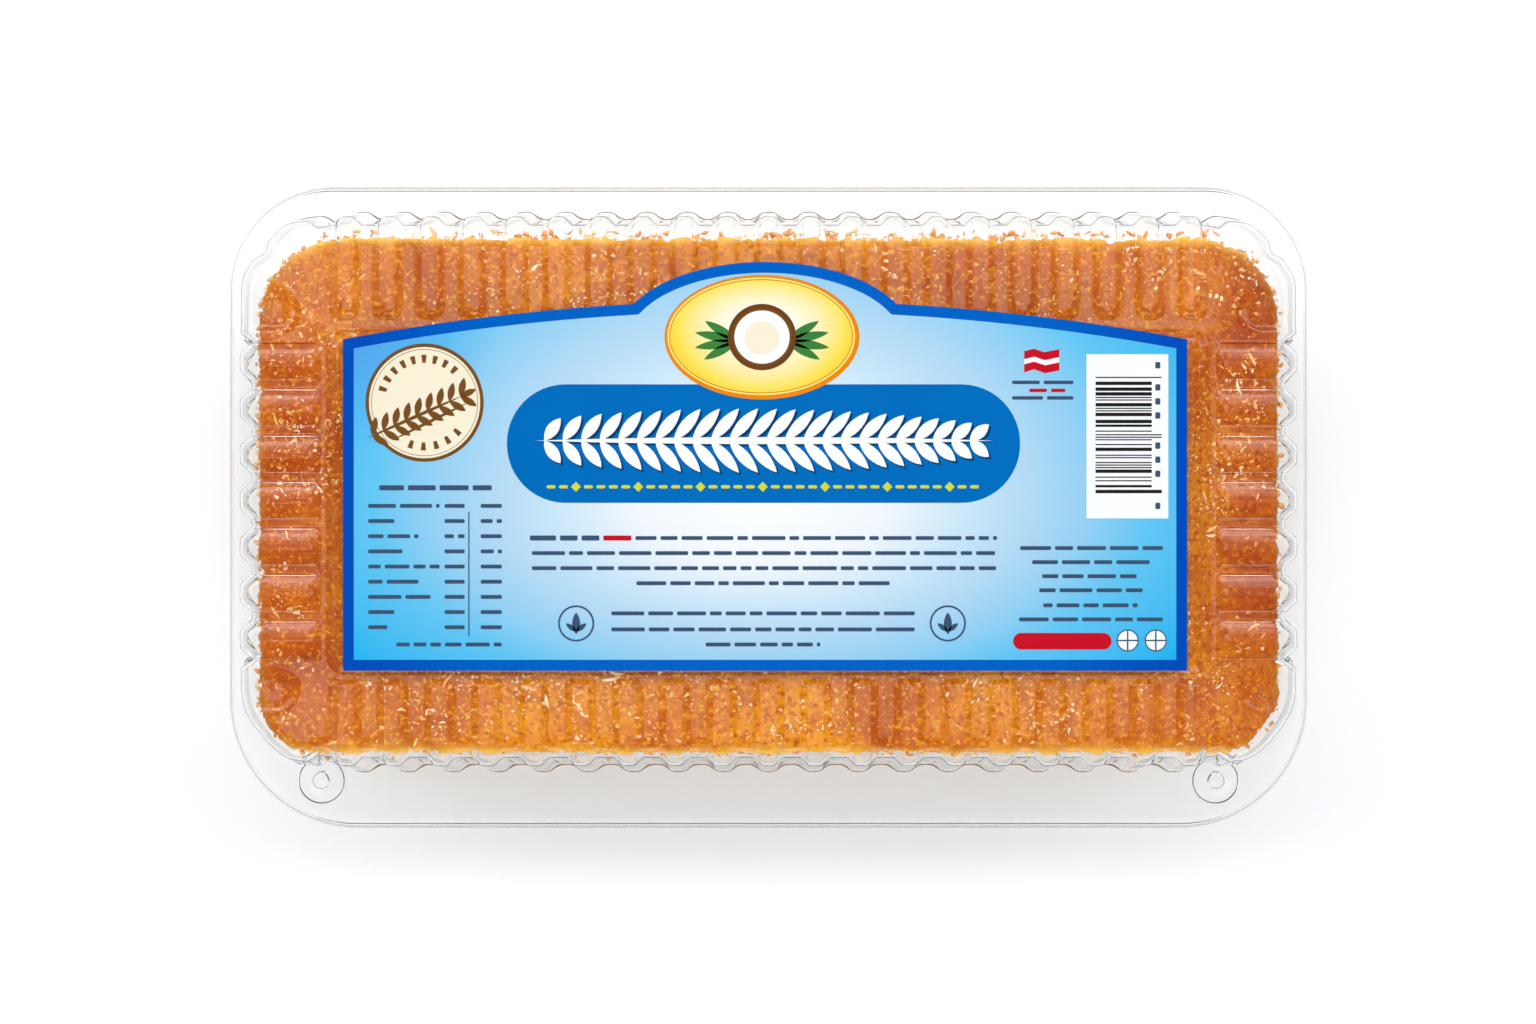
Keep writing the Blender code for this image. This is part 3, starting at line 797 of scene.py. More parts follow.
def clear_of_sockets(x, y, room):
    """Moves a place at the tray's top edge out of the room round each stud's socket."""
    for middle in (-STUD_X, STUD_X):
        if math.hypot(x - middle, y - STUD_Y) < room:
            y = STUD_Y + math.sqrt(room**2 - (x - middle) ** 2)
    return x, y


def make_tray(material, edge):
    bm = bmesh.new()
    columns = Columns(wave_stops)
    pitch = np.where(columns.on_side(), SIDE_WAVE, LONG_WAVE)
    wave = 0.5 + 0.5 * np.cos(2 * math.pi * columns.across / pitch)
    share = np.where(columns.across < FAR, wave, columns.bulge)
    lean = math.atan2(FLANGE_Z - FOOT_Z, FOOT_INSET)
    lean_degrees = math.degrees(lean)
    reach = FOOT_FILLET / math.tan((math.pi - lean) / 2)
    top = arc((-reach, FLANGE_Z - FOOT_FILLET), FOOT_FILLET, 90, 90 - lean_degrees, 4)
    floor_z = SHEET
    run = (FLANGE_Z - floor_z) / math.tan(lean) + FOOT_RADIUS * math.tan(lean / 2)
    centre = (run, floor_z + FOOT_RADIUS)
    bottom = arc(centre, FOOT_RADIUS, 270 - lean_degrees, 270, 6)
    wall = between(top[-1], bottom[0], (0.25, 0.5, 0.75))
    profile = [(top[0][0] - RUN_IN, FLANGE_Z), *top, *wall, *bottom]
    profile.append((bottom[-1][0] + 1 * MM, floor_z))
    rings = []
    for inset, z in profile:
        xy = columns.place - columns.outward * (inset + columns.scallop * (1 - share))[:, None]
        room = SOCKET_ROOM + 0.15 * (inset - profile[0][0])
        xy = np.array([clear_of_sockets(x, y, room) for x, y in xy])
        rings.append(add_ring(bm, np.column_stack((xy, np.full(len(xy), z))).tolist()))
    bridge_all(bm, rings)
    bm.faces.new(rings[-1])

    half = BEAD_WIDTH / 2
    bead_z = FLANGE_Z + BEAD_HEIGHT
    bead = [(0.0, FLANGE_Z - LIP_DROP), (0.0, FLANGE_Z), (0.0, bead_z - half)]
    for t in (0.5, 1.0, 1.57, 2.1, 2.6):
        bead.append((half - half * math.cos(t), bead_z - half + half * math.sin(t)))
    bead += [(BEAD_WIDTH, FLANGE_Z + 0.25 * MM), (BEAD_WIDTH + 0.12 * MM, FLANGE_Z + 0.06 * MM)]
    bead += [(BEAD_WIDTH + BEAD_SLOPE, FLANGE_Z), (BEAD_WIDTH + BEAD_SLOPE + 0.2 * MM, FLANGE_Z)]
    rims = [level_ring(bm, flange_outline(inset), z) for inset, z in bead]
    bridge_all(bm, rims)
    # Painted shade: the rim bead's outer faces take a darker tint, for the dark line along the
    # rim's edge.
    outer = {vert for ring in rims[:6] for vert in ring}
    for face in bm.faces:
        if outer.issuperset(face.verts):
            face.material_index = 1
    sockets = dimples(bm, SOCKET_RADIUS, SOCKET_INSETS, FLANGE_Z, SOCKET_DEPTH, 0.05 * MM)
    fill_between(bm, rims[-1], rings[0], *sockets)
    face_upwards(bm)
    mesh = mesh_of("tray_shell", bm)
    thicken(finish_piece("tray_shell", mesh, [material, edge], "tray", "tray"))


# ---------------------------------------------------------------- cake


def field(x, y, z, size):
    return noise.noise(Vector((x, y, z)) / size)


def outline_wave(x, y):
    """How far the cake's edge is pressed in between the ribs of the walls."""
    pitch = pitch_of(SIDE_RUN)
    near_side = abs(y - SIDE_MIDDLE_Y) < SIDE_SPAN / 2 + pitch / 2
    if abs(x) > CAKE_HALF_LENGTH - 6 * MM and near_side:
        return SIDE_PRESS * (1 - math.cos(2 * math.pi * (y - SIDE_MIDDLE_Y) / pitch))
    pitch = pitch_of(BACK_RUN if y > 0 else FRONT_RUN)
    if abs(x) < LONG_SPAN / 2:
        return LONG_PRESS * (1 - math.cos(2 * math.pi * x / pitch))
    return 0.0


def cake_outline(u, v, inset):
    half_x = CAKE_HALF_LENGTH - inset
    half_y = CAKE_HALF_WIDTH - inset
    radius = (CAKE_BACK_RADIUS if v > 0 else CAKE_FRONT_RADIUS) - inset
    x = u * half_x
    y = v * half_y
    over = Vector((abs(x) - (half_x - radius), abs(y) - (half_y - radius)))
    if over.x > 0 and over.y > 0:
        over = over.normalized() * radius
        x = math.copysign(half_x - radius + over.x, x)
        y = math.copysign(half_y - radius + over.y, y)
    return Vector((x, y + CAKE_MIDDLE_Y))


def ragged(x, y):
    """How far crumbs have come away from the cake's top edge, most at its front right corner."""
    broken = max(0.0, 1 - math.hypot(x - BROKEN_X, y - BROKEN_Y) / BROKEN_REACH) * 2.4
    chips = abs(field(x, y, 0.03, 11 * MM)) * 0.8 + abs(field(x, y, 0.04, 3.2 * MM)) * 0.9
    return (chips + broken + abs(field(x, y, 0.05, 1.5 * MM)) * 1.5 - 0.7) * MM


def crust_z(x, y):
    """Height of the crust: slow swells, soft ridges, crumbs and the roll of its edge."""
    swell = field(x, y, 0.0, 38 * MM) * 0.45 * MM
    lumps = field(x, y, 0.01, 5 * MM) * 0.30 * MM
    crumbs = (field(x, y, 0.02, 2.2 * MM) * 0.26 + abs(field(x, y, 0.07, 1.3 * MM)) * 0.3) * MM
    radius = CAKE_BACK_RADIUS if y > CAKE_MIDDLE_Y else CAKE_FRONT_RADIUS
    along = np.array(y - CAKE_MIDDLE_Y)
    inside = float(inside_box(np.array(x), along, CAKE_HALF_LENGTH, CAKE_HALF_WIDTH, radius))
    roll = 1 - min(max(inside - GRID_INSET, 0.0) / EDGE_ROLL, 1.0)
    drop = EDGE_DROP * (1 - math.sqrt(1 - roll * roll))
    return CAKE_TOP_Z + swell + lumps + crumbs - drop


def make_cake(material):
    bm = bmesh.new()
    grid = []
    shares_x = [2 * i / CAKE_COLUMNS - 1 for i in range(CAKE_COLUMNS + 1)]
    shares_y = [2 * j / CAKE_LINES - 1 for j in range(CAKE_LINES + 1)]
    middle = Vector((0.0, CAKE_MIDDLE_Y))
    for v in shares_y:
        line = []
        for u in shares_x:
            reach = max(abs(u), abs(v))
            point = middle
            if reach > 0:
                edge = cake_outline(u / reach, v / reach, GRID_INSET)
                pressed = (outline_wave(*edge) + ragged(*edge)) * max(0.0, reach * 14 - 13)
                edge = cake_outline(u / reach, v / reach, GRID_INSET + pressed)
                point = middle + (edge - middle) * reach
            line.append(bm.verts.new((*point, crust_z(*point))))
        grid.append(line)
    for low, high in zip(grid, grid[1:]):
        for i in range(CAKE_COLUMNS):
            bm.faces.new((low[i], low[i + 1], high[i + 1], high[i]))
    half = [(i, 0) for i in range(CAKE_COLUMNS)] + [(CAKE_COLUMNS, j) for j in range(CAKE_LINES)]
    border = half + [(CAKE_COLUMNS - i, CAKE_LINES - j) for i, j in half]
    above = [grid[j][i] for i, j in border]
    for height in SIDE_HEIGHTS:
        height *= MM
        lean = max(0.0, LEAN_TOP - height) / (LEAN_TOP - LEAN_BOTTOM) * SIDE_LEAN
        toe = TOE * (1 - math.sqrt(max(0.0, 1 - (1 - min(height / LEAN_BOTTOM, 1)) ** 2)))
        z = CAKE_BOTTOM_Z + height
        row = []
        for i, j in border:
            u, v = shares_x[i], shares_y[j]
            edge = cake_outline(u, v, 0)
            rough = 0.5 * abs(field(*edge, z, 6 * MM)) + 0.4 * field(*edge, z, 2.2 * MM)
            loose = ragged(*edge) * max(0.0, 1 - (SIDE_HEIGHTS[0] * MM - height) / (9 * MM))
            inset = lean + toe + max(0.0, rough + 0.2) * MM + outline_wave(*edge) + loose
            row.append(bm.verts.new((*cake_outline(u, v, inset), z)))
        bridge(bm, above, row)
        above = row
    bm.faces.new(above)
    bmesh.ops.recalc_face_normals(bm, faces=bm.faces[:])
    mesh = mesh_of("cake_slab", bm)
    finish_piece("cake_slab", mesh, [material], "tray", "cake")


def turned(x, y, along, across, turn):
    """A place given along and across a direction, from (x, y)."""
    cos, sin = math.cos(turn), math.sin(turn)
    return (x + along * cos - across * sin, y + along * sin + across * cos)


def flake(bm, draw, x, y, length, width, lift):
    """A thin bent strip of coconut, pointed at both ends, lying on the crust."""
    turn = draw.uniform(0, 2 * math.pi)
    along = Vector((math.cos(turn), math.sin(turn), draw.uniform(-0.16, 0.16)))
    side = Vector((-math.sin(turn), math.cos(turn), draw.uniform(-0.5, 0.5)))
    bend = draw.uniform(-0.25, 0.25) * length
    centre = Vector((x, y, crust_z(x, y) + lift))
    rows = []
    for share, fat in ((-0.5, 0.25), (-0.22, 0.9), (0.1, 1.0), (0.34, 0.7), (0.5, 0.2)):
        spine = centre + along * (share * length) + side * (bend * (0.25 - share * share) * 2)
        half = side * (width * fat / 2)
        up = Vector((0, 0, width * 0.3 * fat))
        rows.append(add_ring(bm, (spine - half, spine + up, spine + half, spine - up)))
    bridge_all(bm, rows)
    bm.faces.new(rows[0][::-1])
    bm.faces.new(rows[-1])


def chip(bm, draw, x, y, size, lift=0.0):
    """A small uneven crumb of coconut."""
    centre = Vector((x, y, crust_z(x, y) + lift))
    turn = draw.uniform(0, 2 * math.pi)
    stretch = draw.uniform(1.0, 1.9)
    ring = []
    for step in range(6):
        t = math.pi * step / 3
        reach = size * draw.uniform(0.7, 1.15) / 2
        place = turned(0.0, 0.0, reach * stretch * math.cos(t), reach * math.sin(t), turn)
        ring.append(bm.verts.new(centre + Vector((*place, draw.uniform(-0.1, 0.12) * size))))
    top = bm.verts.new(centre + Vector((0, 0, size * draw.uniform(0.22, 0.42))))
    low = bm.verts.new(centre - Vector((0, 0, size * 0.3)))
    for step in range(6):
        pair = (ring[step], ring[(step + 1) % 6])
        bm.faces.new((*pair, top))
        bm.faces.new((pair[1], pair[0], low))


def make_coconut(material):
    bm = bmesh.new()
    draw = random.Random(11)

    def anywhere():
        return draw.uniform(-TOPPING_X, TOPPING_X), draw.uniform(*TOPPING_Y)

    def strip(x, y, length, width):
        flake(bm, draw, x, y, draw.uniform(*length) * MM, draw.uniform(*width) * MM, STRIP_LIFT)

    made = 0
    while made < TOPPINGS:
        x, y = anywhere()
        cluster = field(x, y, 0.05, 26 * MM) + 0.5 * field(x, y, 0.06, 8 * MM)
        if draw.random() > 0.3 + 1.5 * cluster:
            continue
        made += 1
        kind = draw.random()
        if kind < LONG_STRIPS:
            strip(x, y, (2.2, 4.2), (0.6, 1.1))
        elif kind < STRIPS:
            strip(x, y, (0.8, 1.7), (0.28, 0.5))
        else:
            chip(bm, draw, x, y, (0.3 + 0.75 * draw.random() ** 2.5) * MM)
    for _ in range(TINY_CHIPS):
        x, y = anywhere()
        if draw.random() < 0.5 + 1.2 * field(x, y, 0.08, 20 * MM):
            chip(bm, draw, x, y, draw.uniform(0.26, 0.45) * MM)
    for _ in range(LOOSE_CHIPS):
        turn = draw.uniform(-math.pi, math.pi)
        u, v = math.cos(turn), math.sin(turn)
        if v < 0 and draw.random() < 0.55:
            continue
        reach = max(abs(u), abs(v))
        low = draw.uniform(0.8, 6.0)
        place = cake_outline(u / reach, v / reach, (0.5 - low * draw.uniform(0.1, 0.42)) * MM)
        drop = crust_z(*place) - CAKE_TOP_Z + EDGE_DROP
        size = draw.uniform(0.5, 1.3) * MM
        chip(bm, draw, *place, size, -drop - low * MM)
    for _ in range(BACK_FLAKES):
        x = draw.uniform(-104, 104) * MM
        y = CAKE_BACK_Y + draw.uniform(0.6, 1.9) * MM
        length = draw.uniform(1.4, 2.6) * MM
        width = draw.uniform(0.5, 1.0) * MM
        flake(bm, draw, x, y, length, width, draw.uniform(-6, -1) * MM)
    bmesh.ops.recalc_face_normals(bm, faces=bm.faces[:])
    mesh = mesh_of("coconut_flakes", bm)
    finish_piece("coconut_flakes", mesh, [material], "tray", None)


# ---------------------------------------------------------------- label


def at(x, y):
    """A place on the lid's top from a pixel of the photograph."""
    return ((x - PIXEL_X) * PIXEL, (PIXEL_Y - y) * PIXEL)


def label_outline():
    half = LABEL_HALF_WIDTH
    steps = LABEL_STEPS
    shoulder_x = LABEL_SHOULDER_X
    drop = LABEL_SHOULDER_Y - LABEL_CORNER_Y
    centre_y = (shoulder_x**2 - half**2 + LABEL_SHOULDER_Y**2 - LABEL_CORNER_Y**2) / (2 * drop)
    radius = math.hypot(half, LABEL_CORNER_Y - centre_y)
    share = (LABEL_SHOULDER_Y - LABEL_HUMP_Y) / LABEL_HUMP_HEIGHT
    hump_half = shoulder_x / math.sqrt(1 - share**2)
    start = math.asin(share)
    arch = []
    for step in range(steps):
        x = half + (shoulder_x - half) * step / steps
        arch.append((x, centre_y + math.sqrt(radius**2 - x**2)))
    hump = []
    for step in range(2 * steps + 1):
        turn = start + (math.pi - 2 * start) * step / (2 * steps)
        hump.append((hump_half * math.cos(turn), LABEL_HUMP_Y + LABEL_HUMP_HEIGHT * math.sin(turn)))
    left = [(-x, y) for x, y in reversed(arch)]
    front = [(-half, LABEL_FRONT_Y), (half, LABEL_FRONT_Y)]
    return [(x + LABEL_X, y) for x, y in (*front, *arch, *hump, *left)]


def drawn_in(outline, distance):
    """The outline moved inwards, its corners kept sharp."""
    points = []
    places = [Vector(point) for point in outline]
    for before, here, after in zip(places[-1:] + places, places, places[1:] + places[:1]):
        normal_a = (here - before).normalized().orthogonal()
        normal_b = (after - here).normalized().orthogonal()
        middle = (normal_a + normal_b).normalized()
        points.append(tuple(here + middle * (distance / max(middle.dot(normal_a), 0.3))))
    return points


def bar(x0, x1, y0, y1, radius=0.0):
    if radius == 0:
        return [(x0, y0), (x1, y0), (x1, y1), (x0, y1)]
    points = []
    sides = ((x1, y1, 0), (x0, y1, 90), (x0, y0, 180), (x1, y0, 270))
    for x, y, start in sides:
        centre = (x - radius if x == x1 else x + radius, y - radius if y == y1 else y + radius)
        points += arc(centre, radius, start, start + 90, 12)
    return points


def leaf(x, y, length, width, turn):
    """A pointed leaf from its base, turned from the x axis."""
    points = []
    for sign in (1, -1):
        stops = range(0, 9) if sign > 0 else range(7, 0, -1)
        for step in stops:
            share = step / 8
            off = sign * width / 2 * math.sin(math.pi * share) ** 0.8 if 0 < step < 8 else 0
            points.append(turned(x, y, share * length, off, turn))
    return points


class Print:
    """Flat shapes in pixels of the photograph, kept in one mesh, each on its own level."""

    def __init__(self):
        self.points = []
        self.faces = []
        self.inks = []
        self.names = {}

    def add(self, faces, ink):
        self.faces += faces
        self.inks += [self.names.setdefault(ink, len(self.names))] * len(faces)

    def place(self, outline, level):
        start = len(self.points)
        z = LABEL_Z + LABEL_THICKNESS + INK_STEP * level
        self.points += [(*at(*point), z) for point in outline]
        return start

    def fill(self, outline, ink, level):
        start = self.place(outline, level)
        corners = [Vector((x, y, 0)) for x, y in outline]
        triangles = geometry.tessellate_polygon([corners])
        self.add([[start + i for i in triangle] for triangle in triangles], ink)

    def hoop(self, x, y, outer, inner, ink, level, steps=64):
        """A round line between two radii."""
        start = self.place(ellipse(x, y, outer, outer, steps), level)
        other = self.place(ellipse(x, y, inner, inner, steps), level)
        pairs = [(i, (i + 1) % steps) for i in range(steps)]
        self.add([[start + i, start + j, other + j, other + i] for i, j in pairs], ink)

    def words(self, draw, x0, x1, y, ink="grey", height=3.8):
        """A line of plain dashes, as text looks from afar."""
        x = x0
        while x < x1 - 3:
            end = min(x + draw.uniform(9, 34), x1)
            if x1 - end < 7:
                end = x1
            self.fill(bar(x, end, y - height / 2, y + height / 2, 1.2), ink, 3)
            x = end + 4.0


INKS = {
    "banner": ((1, 104, 183), (2, 112, 192)),
    "navy": ((6, 66, 122), (4, 58, 112)),
    "white": ((252, 253, 254), (246, 250, 253)),
    "cream": ((251, 242, 218), (242, 233, 206)),
    "brown": ((109, 69, 30), (128, 84, 40)),
    "husk": ((120, 72, 34), (98, 58, 26)),
    "orange": ((240, 146, 16), (230, 128, 10)),
    "gold": ((218, 150, 42), (206, 136, 34)),
    "gold_light": ((255, 236, 140), (254, 228, 120)),
    "grey": ((56, 76, 106), (66, 90, 122)),
    "red": ((208, 22, 42), (196, 18, 38)),
    "lime": ((214, 222, 58), (200, 214, 60)),
    "black": ((28, 28, 30), (36, 36, 38)),
    "green": ((70, 140, 60), (50, 120, 62)),
}


def draw_seal(sheet):
    x, y = 426.1, 403.2
    sheet.fill(ellipse(x, y, 58.8, 58.8, 96), "cream", 2)
    sheet.hoop(x, y, 58.8, 55.4, "brown", 3, 96)
    sheet.hoop(x, y, 53.2, 52.7, "brown", 3, 96)
    for first, last, count in ((198, 312, 9), (42, 108, 5)):
        for step in range(count):
            turn = math.radians(first + (last - first) * step / (count - 1))
            ray = ((39.6, -1.7), (47.6, -2.6), (47.6, 2.6), (39.6, 1.7))
            sheet.fill([turned(x, y, *corner, turn) for corner in ray], "brown", 3)
    tilt = math.radians(-24)
    start_x, start_y, count = 374.0, 436.0, 9
    for step in range(count):
        px, py = turned(start_x, start_y, 96 * step / (count - 1), 0.0, tilt)
        for side in (-1, 1):
            sheet.fill(leaf(px, py, 19, 7.0, tilt + side * 0.95), "brown", 4)
    sheet.fill(leaf(px, py, 17, 6.5, tilt), "brown", 4)
    sheet.fill(leaf(start_x - 6, start_y + 3, 106, 3.4, tilt), "brown", 5)
    sheet.fill(leaf(393, 441, 86, 3.0, tilt - 0.04), "brown", 5)


def draw_oval(sheet):
    x, y = 762, 338
    sheet.fill(ellipse(x, y, 97, 62, 128), "orange", 3)
    rings = (("gold_light", 93.4, 58.6), ("gold", 91.6, 56.9), ("oval", 90.6, 55.9))
    for level, (ink, *radii) in enumerate(rings, 4):
        sheet.fill(ellipse(x - 0.8, y - 0.8, *radii, 128), ink, level)
    for side in (-1, 1):
        for k, turn in enumerate((-0.55, -0.2, 0.15, 0.5)):
            start = 0 if side > 0 else math.pi
            base_x = x + side * 24
            lean = start + side * turn
            sheet.fill(leaf(base_x, y + 4, 46 - 5 * abs(k - 1.5), 9, lean), "green", 7)
    nut = (("husk", 34, 33), ("brown", 30, 29), ("white", 27.5, 26.5))
    for level, (ink, *radii) in enumerate(nut, 8):
        sheet.fill(ellipse(x, y, *radii, 96), ink, level)
    sheet.fill(ellipse(x, y + 1, 17.5, 16.5, 64), "cream", 11)


def draw_banner(sheet):
    sheet.fill(bar(508, 1019, 385, 503, 58.5), "banner", 2)
    start_x, end_x, y = 536, 992, 441
    count = 24
    for ink, level, shift in (("navy", 3, 2.2), ("white", 5, 0.0)):
        sheet.fill(leaf(start_x + shift, y + shift, end_x - start_x, 7, 0.0), ink, level)
        for step in range(count):
            share = (step + 0.5) / count
            x = start_x + shift + (end_x - start_x - 14) * share
            length = 25 + 18 * math.sin(math.pi * min(1.0, share * 1.05)) ** 0.7
            for side in (-1, 1):
                turn = side * (0.95 - 0.25 * share)
                sheet.fill(leaf(x, y + shift, length, 12, turn), ink, level + 1)
    for step in range(35):
        x = 552 + step * 12.4
        if step % 5 == 2:
            sheet.fill([(x - 5, 487), (x, 482), (x + 5, 487), (x, 492)], "lime", 4)
        else:
            sheet.fill(bar(x - 4.4, x + 4.4, 485.4, 488.6, 1.4), "lime", 4)


SMALL_PRINT = (
    (636, 996, 538), (533, 994, 553), (533, 995, 568), (637, 889, 583), (612, 914, 613),
    (612, 914, 629), (706, 820, 644), (1019, 1161, 548), (1031, 1148, 562), (1041, 1135, 576),
    (1038, 1141, 590), (1042, 1136, 605), (1018, 1161, 619),
)
RIBBON = (
    (1023, 352), (1033, 349.5), (1043, 353), (1058, 350),
    (1058, 371), (1044, 374), (1033, 370), (1023, 373),
)
STRIPE = (
    (1023, 360), (1033, 357.5), (1043, 361), (1058, 358),
    (1058, 363), (1044, 366), (1033, 362.5), (1023, 365),
)


def draw_small_print(sheet):
    draw = random.Random(5)
    sheet.words(draw, 381, 493, 488, "grey", 5.0)
    lefts = (441, 396, 420, 404, 441, 420, 432, 396, 389)
    for row, left in enumerate(lefts):
        y = 506 + row * 15.1
        sheet.words(draw, 370, left, y)
        sheet.words(draw, 446, 466, y)
        sheet.words(draw, 482, 503, y)
    sheet.words(draw, 398, 503, 644)
    sheet.fill(bar(469.6, 470.8, 512, 636), "grey", 3)
    sheet.words(draw, 531, 600, 538, "grey", 5.0)
    sheet.words(draw, 604, 632, 538, "red", 5.0)
    for row in SMALL_PRINT:
        sheet.words(draw, *row)
    sheet.fill(bar(1012, 1110, 632.5, 649, 8.2), "red", 3)
    for x in (577, 947):
        sheet.hoop(x, 623, 18, 16.2, "grey", 3)
        sheet.fill(leaf(x, 634, 22, 8, -math.pi / 2), "grey", 3)
        for side in (-1, 1):
            sheet.fill(leaf(x, 631, 13, 5, -math.pi / 2 + side * 0.9), "grey", 3)
    for x in (1126, 1154):
        sheet.fill(ellipse(x, 640, 11, 11, 40), "white", 3)
        sheet.hoop(x, 640, 11, 9.8, "grey", 4, 40)
        sheet.fill(bar(x - 9.8, x + 9.8, 639.3, 640.7), "grey", 4)
        sheet.fill(bar(x - 0.7, x + 0.7, 630.2, 649.8), "grey", 5)
    sheet.fill(RIBBON, "red", 3)
    sheet.fill(STRIPE, "white", 4)
    sheet.words(draw, 1011, 1072, 383, "grey", 3.4)
    sheet.words(draw, 1028, 1064, 391, "red", 3.4)
    sheet.words(draw, 1011, 1072, 398.5, "grey", 3.4)


def draw_code(sheet):
    """A white box with plain stripes of seeded widths."""
    sheet.fill(bar(1085, 1166.5, 355, 518.5), "white", 3)
    draw = random.Random(21)
    y = 377.5
    while y < 496:
        thick = draw.choice((1.2, 1.2, 2.4, 3.4))
        long = y < 382 or 434 < y < 439 or y > 490
        sheet.fill(bar(1094, 1160 if long else 1150, y, min(y + thick, 497.5)), "black", 4)
        y += thick + draw.choice((1.3, 1.3, 2.4, 3.6))
    for y0 in (366, 388, 402, 416, 446, 460, 474, 506):
        sheet.fill(bar(1153.5, 1158.5, y0 - 3.2, y0 + 3.2, 1.2), "grey", 4)


def make_label():
    bm = bmesh.new()
    outline = label_outline()
    bottom = level_ring(bm, outline, LABEL_Z)
    top = level_ring(bm, outline, LABEL_Z + LABEL_THICKNESS)
    bridge(bm, bottom, top)
    bm.faces.new(bottom).material_index = 1
    bm.faces.new(top)
    bmesh.ops.recalc_face_normals(bm, faces=bm.faces[:])
    mesh = mesh_of("label_sheet", bm)
    papers = [border_material(), ink_material("label_back", rgb(244, 245, 246))]
    finish_piece("label_sheet", mesh, papers, "lid", "label")
    mesh.set_sharp_from_angle(angle=math.radians(35))

    sheet = Print()
    ground = drawn_in(outline, LABEL_BORDER)
    pixels = [(x / PIXEL + PIXEL_X, PIXEL_Y - y / PIXEL) for x, y in ground]
    sheet.fill(pixels, "ground", 1)
    draw_seal(sheet)
    draw_oval(sheet)
    draw_banner(sheet)
    draw_small_print(sheet)
    draw_code(sheet)
    materials = []
    for name in sheet.names:
        if name == "ground":
            materials.append(sky_material())
        elif name == "oval":
            materials.append(oval_material())
        else:
            materials.append(ink_material("ink_" + name, *(rgb(*tone) for tone in INKS[name])))
    mesh = bpy.data.meshes.new("label_print")
    mesh.from_pydata(sheet.points, [], sheet.faces)
    mesh.polygons.foreach_set("material_index", sheet.inks)
    up = bmesh.new()
    up.from_mesh(mesh)
    for face in up.faces:
        if face.normal.z < 0:
            face.normal_flip()
    up.to_mesh(mesh)
    up.free()
    finish_piece("label_art", mesh, materials, "lid", None)


# ---------------------------------------------------------------- light, floor and camera


def add_area(name, location, target, size, radiance, color):
    light = bpy.data.lights.new(name, "AREA")
    light.shape = "RECTANGLE"
    light.size, light.size_y = size
    light.energy = radiance * math.pi * size[0] * size[1]
    light.color = color
    obj = bpy.data.objects.new(name, light)
    obj.location = location
    obj.rotation_euler = (Vector(target) - Vector(location)).to_track_quat("-Z", "Y").to_euler()
    bpy.context.scene.collection.objects.link(obj)


CAMERA_LENS = 58.68
CAMERA_SENSOR = 36
CAMERA_PLACE = (-0.12 * MM, -1.1 * MM, 622.5 * MM)
HORIZON = (0.06, 0.24)  # the heights over which the room's light falls off
ROOM = (0.9, 0.24)  # its strength below and above them
FLOOR_RADIUS = 4.0
FLOOR_Z = -0.3 * MM
WARM = (1.0, 0.975, 0.88)
COOL = (0.95, 0.975, 1.0)
PLAIN = (1.0, 1.0, 1.0)
MIDDLE = (0, 0, 0.03)

# Light panels aimed at the middle of the pack: name, place, size, radiance, colour
PANELS = (
    ("key", (-0.05, 0.66, 1.1), (1.5, 0.2), 3.9, PLAIN),
    ("key_wide", (0, 0.65, 1.12), (1.3, 0.5), 1.1, PLAIN),
    ("back", (0, 1.2, 0.65), (1.4, 0.12), 4.5, PLAIN),
    ("front", (0, -1.0, 0.5), (1.4, 0.4), 2.9, COOL),
    ("left", (-0.95, 0.4, 0.75), (0.5, 0.8), 2.3, PLAIN),
    ("right", (0.95, 0.4, 0.75), (0.5, 0.8), 2.1, PLAIN),
)

# Light panels facing straight down: name, left, right, front and back edge, radiance
OVERHEAD_Z = 1.15
OVERHEAD = (
    ("overhead", -0.295, 0.295, -0.115, 0.195, 2.35),
    ("overhead_near", -0.295, 0.295, -0.145, -0.115, 1.7),
    ("overhead_front", -0.295, 0.295, -0.175, -0.145, 1.1),
    ("overhead_back", -0.295, 0.295, 0.225, 0.42, 0.4),
    ("overhead_left", -0.35, -0.295, -0.1, 0.12, 0.5),
    ("overhead_right", 0.295, 0.35, -0.1, 0.12, 0.5),
    ("corner_front_left", -0.34, -0.295, -0.165, -0.1, 2.2),
    ("corner_front_right", 0.295, 0.34, -0.165, -0.1, 0.5),
    ("corner_back_left", -0.338, -0.295, 0.12, 0.192, 2.1),
    ("corner_back_right", 0.295, 0.338, 0.12, 0.192, 0.7),
    ("side_back_left", -0.36, -0.295, 0.225, 0.6, 1.9),
    ("side_back_right", 0.295, 0.36, 0.225, 0.6, 1.9),
)


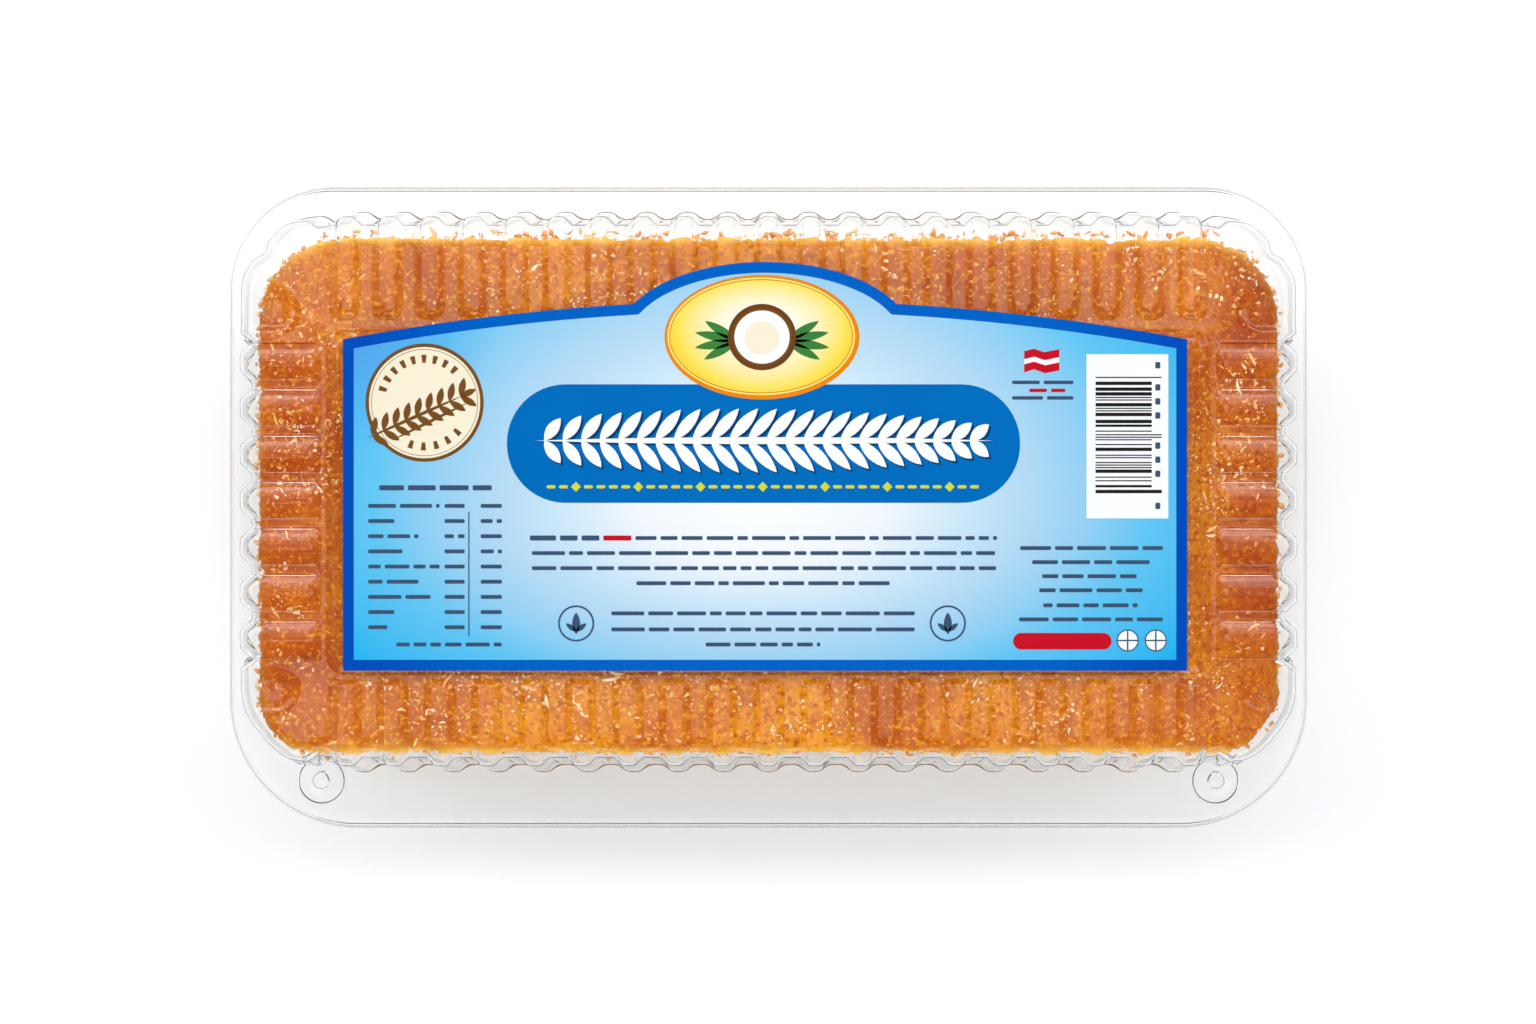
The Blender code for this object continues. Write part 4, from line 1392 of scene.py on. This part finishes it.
def make_studio():
    scene = bpy.context.scene
    world = bpy.data.worlds.new("studio")
    world.use_nodes = True
    tree = world.node_tree
    background = tree.nodes["Background"]
    background.inputs["Color"].default_value = (0.96, 1.0, 1.06, 1)
    direction = new_node(tree, "ShaderNodeTexCoord").outputs["Generated"]
    fade = span(tree, axes_of(tree, direction)[2], *HORIZON, *ROOM)
    tree.links.new(fade, background.inputs["Strength"])
    scene.world = world
    scene.view_settings.view_transform = "Standard"
    scene.view_settings.look = "None"

    bm = bmesh.new()
    bm.faces.new(level_ring(bm, ellipse(0, 0, FLOOR_RADIUS, FLOOR_RADIUS, 96), FLOOR_Z))
    face_upwards(bm)
    floor = bpy.data.objects.new("floor", mesh_of("floor", bm))
    looks = {"Roughness": 0.7, "Emission_Color": (0.93, 0.99, 1.1, 1), "Emission_Strength": 0.1}
    material, tree, shader, coords = new_material("floor_white", (0.97, 0.97, 0.97, 1), **looks)
    cloud = noise_of(tree, coords, 3.0, 2.0)
    paint(tree, shader, mix(tree, cloud, (0.965, 0.98, 1.0, 1), (0.95, 0.965, 0.985, 1)))
    floor.data.materials.append(material)
    scene.collection.objects.link(floor)

    for name, x0, x1, y0, y1, radiance in OVERHEAD:
        x, y = (x0 + x1) / 2, (y0 + y1) / 2
        add_area(name, (x, y, OVERHEAD_Z), (x, y, 0), (x1 - x0, y1 - y0), radiance, WARM)
    for name, place, size, radiance, color in PANELS:
        add_area(name, place, MIDDLE, size, radiance, color)

    camera = bpy.data.cameras.new("camera")
    camera.lens = CAMERA_LENS
    camera.sensor_width = CAMERA_SENSOR
    camera.clip_start = 0.01
    obj = bpy.data.objects.new("camera", camera)
    obj.location = CAMERA_PLACE
    scene.collection.objects.link(obj)
    scene.camera = obj


def main():
    plastic = plastic_material("clear_pet", (0.99, 0.993, 0.995, 1))
    # The tray's rim bead gets a darker sheet: painted shade along its edge.
    make_tray(plastic, plastic_material("clear_pet_edge_painted_shade", (0.8, 0.785, 0.77, 1)))
    make_lid(plastic)
    make_cake(crust_material())
    make_coconut(coconut_material())
    make_label()
    make_studio()


main()
